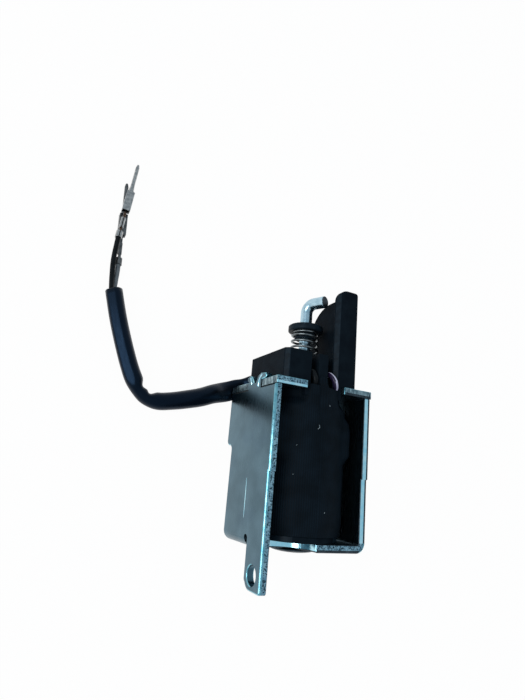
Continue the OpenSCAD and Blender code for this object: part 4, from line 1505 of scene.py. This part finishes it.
@dataclass
class Plunger:
    """The hooked rod with its collar and return spring, the armature under it and the fixed core."""

    collar_low: float = 52.9
    collar_round: float = 0.06
    rod_round: float = 0.12
    core_round: float = 0.15
    spring_d: float = 7.4
    spring_wire: float = 0.6
    spring_turns: float = 5.5
    spring_closed: float = 0.1
    stroke: float = 3.6
    # The cut end of the hook's leg lies this far off the plunger's middle line, less a hair
    leg_end: float = 5.6
    # The radii and heights of the head that staking spread under the bottom plate
    head: Sequence[Pair] = (
        (5.3, 0.0), (5.5, -0.2), (5.4, -0.45), (5.0, -0.65), (4.4, -0.8), (3.8, -0.91), (3.2, -0.94))
    head_points: int = 64

    def rod_face(self, middle: Vector, normal: Vector) -> Finish:
        """Sorts the rod's faces: the cut end of the hook's leg is sheared and in painted shade, the rest is drawn."""
        return CUT_END_AND_SHADE if math.hypot(middle.x, middle.z) > self.leg_end else ROD

    def rivet(self) -> Mesh:
        """Builds the head that staking spread under the bottom plate."""
        return loft([oval(upright(0, y, 0), RIGHT, OUT, (r, r), self.head_points) for r, y in self.head])

    def spring_tree(self) -> Tree:
        """Makes the node tree of a coil spring that stands on its own Z, with closed end turns.

        Returns:
            The tree.
        """
        tree, given = started("coil_spring", [], ["Radius", "Wire Radius", "Height", "Turns", "Closed Share"])
        ring = add(tree, "GeometryNodeCurveSpiral", {"Resolution": 48, "Rotations": given["Turns"],
                   "Start Radius": given["Radius"], "End Radius": given["Radius"], "Height": 0.0})
        share = add(tree, "GeometryNodeSplineParameter")
        open_end = add(tree, "ShaderNodeMath", {0: 1.0, 1: given["Closed Share"]}, operation="SUBTRACT")
        climb = add(tree, "ShaderNodeMapRange", {"Value": share.outputs["Factor"], "From Min": given["Closed Share"],
                    "From Max": open_end.outputs[0], "To Min": 0.0, "To Max": given["Height"]},
                    interpolation_type="LINEAR")
        lift = add(tree, "ShaderNodeCombineXYZ", {"Z": climb.outputs["Result"]})
        helix = add(tree, "GeometryNodeSetPosition", {"Geometry": ring.outputs[0], "Offset": lift.outputs[0]})
        return ended(tree, helix.outputs[0], given["Wire Radius"], 14, given["Finish"])

    def spring(self) -> None:
        """Builds the return spring."""
        free = self.collar_low - BOSS_TOP
        sizes = {"Radius": (self.spring_d - self.spring_wire) / 2 * MM, "Wire Radius": self.spring_wire / 2 * MM,
                 "Height": (free - self.spring_wire) * MM, "Turns": self.spring_turns,
                 "Closed Share": self.spring_closed, "Finish": SPRING.material()}
        mesh = grown("return_spring_wire", self.spring_tree(), sizes)
        stand = Matrix((RIGHT, -OUT, UP)).transposed().to_4x4()
        mesh.transform(Matrix.Translation(upright(0, BOSS_TOP + self.spring_wire / 2, 0)) @ stand)
        piece = report(finish_mesh("return_spring_wire", mesh, [SPRING], sharp=60), "frame", "return_spring")
        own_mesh(piece)

    def build(self) -> None:
        """Builds the moving pieces, the spring and the core."""
        NodeCopy("hook_rod", "hooked_rod", (ROD, CUT_END_AND_SHADE), body="plunger", radius=self.rod_round,
                 face_rule=self.rod_face).build()
        NodeCopy("spring_collar", "spring_collar_moulding", (NYLON_EDGE,), body="plunger",
                 radius=self.collar_round).build()
        # The head spread under the bottom plate is in painted shade
        NodeCopy("fixed_core", "riveted_core", (STEEL, RUBBED_BLUE_LIT, CUT_END_AND_SHADE), radius=self.core_round, edge_finish=RUBBED_BLUE_LIT,
                 extras=[(self.rivet(), CUT_END_AND_SHADE)]).build()
        self.spring()
        dress_nodes({"armature": STEEL, "guide_tube": BRASS, "core_washer": RUBBER, "stop_washer": RUBBER})


@dataclass
class CoilLeads:
    """The two leads that come out from under the tape, up their slots and back through the boss."""

    wire_d: float = 1.3
    # Each lead's slot, its rise from under the tape to the slot, and its way behind the boss to the sleeve
    left_slot: float = -2.675
    left_rise: Sequence[Triple] = (
        (-2.675, 33.8, 9.5), (-2.575, 35.4, 9.3), (-2.325, 37.2, 9.5), (-2.475, 38.6, 10.0), (-2.675, 39.7, 9.7))
    left_rear: Sequence[Triple] = ((-7.45, 39.2, -9.55), (-6.45, 40, -10.85))
    right_slot: float = 2.075
    right_rise: Sequence[Triple] = (
        (4.3, 34.4, 8.8), (3.7, 36.5, 9.2), (3.3, 37.5, 10.2), (2.75, 38.6, 10.7), (2.3, 39.8, 10.2))
    right_rear: Sequence[Triple] = (
        (7.45, 38.8, -9.35), (5.85, 38.8, -10.65), (0, 39, -10.95), (-4.45, 39.6, -11.05), (-6.05, 40.6, -12.05))
    # Both leads' way down into the slot, counted sideways from it, and on through the boss, from the plunger
    slot_way: Sequence[Triple] = ((0, 40.7, 8.8), (0, 40.5, 7.45), (0.3, 39.2, 6.35), (1.6, 38.8, 6.15))
    boss_way: Sequence[Triple] = ((6.15, 38.8, 6.15), (7.25, 38.8, 5.35), (7.45, 38.8, 3.85), (7.45, 38.8, -6.9))
    # The painted highlight shows on faces that lean no further to either side, from so far out
    highlight_lean: Pair = (-0.3, 0.55)
    highlight_rear: float = 6.0

    def route(self, side: Side) -> list[Triple]:
        """Gives a lead's route from under the tape to the sleeve.

        Args:
            side: The lead's side.

        Returns:
            The route's points on the upright part.
        """
        slot, rise, rear = self.right_slot, self.right_rise, self.right_rear
        if side is Side.LEFT:
            slot, rise, rear = self.left_slot, self.left_rise, self.left_rear
        inside = [(slot + x * side, y, z) for x, y, z in self.slot_way]
        return [*rise, *inside, *((x * side, y, z) for x, y, z in self.boss_way), *rear]

    def highlighted(self, face: bpy.types.MeshPolygon) -> bool:
        """Tells whether a face shows the painted highlight.

        Args:
            face: A face of the lead.

        Returns:
            Whether it looks out of the front, and lies far enough out.
        """
        lean = leaning(face.normal)
        low, high = self.highlight_lean
        return low < lean.x < high and lean.z > 0 and measured(face.center).z > self.highlight_rear

    def build(self) -> None:
        """Builds both leads."""
        for side, name, node, finishes in ((Side.LEFT, "black_coil_lead", "lead_black", (BLACK_WIRE,)),
                                           (Side.RIGHT, "purple_coil_lead", "lead_purple", (PURPLE_WIRE, LILAC_HIGHLIGHT))):
            piece = wire_piece(name, finishes, [upright(*stop) for stop in self.route(side)], self.wire_d)
            # The faces that look out of the front take a painted lilac highlight
            if LILAC_HIGHLIGHT in finishes:
                for face in piece.data.polygons:
                    face.material_index = int(self.highlighted(face))
            report(piece, "frame", node)


def main() -> None:
    """Builds the studio and the part in order."""
    logging.basicConfig(level=logging.INFO, format="%(name)s: %(message)s")
    for maker in (Studio(), SleevedLead(), Yoke(), Coil(), Moulding(), Plunger(), CoilLeads()):
        maker.build()
        log.info("%s is done", type(maker).__name__)


if __name__ == "__main__":
    main()
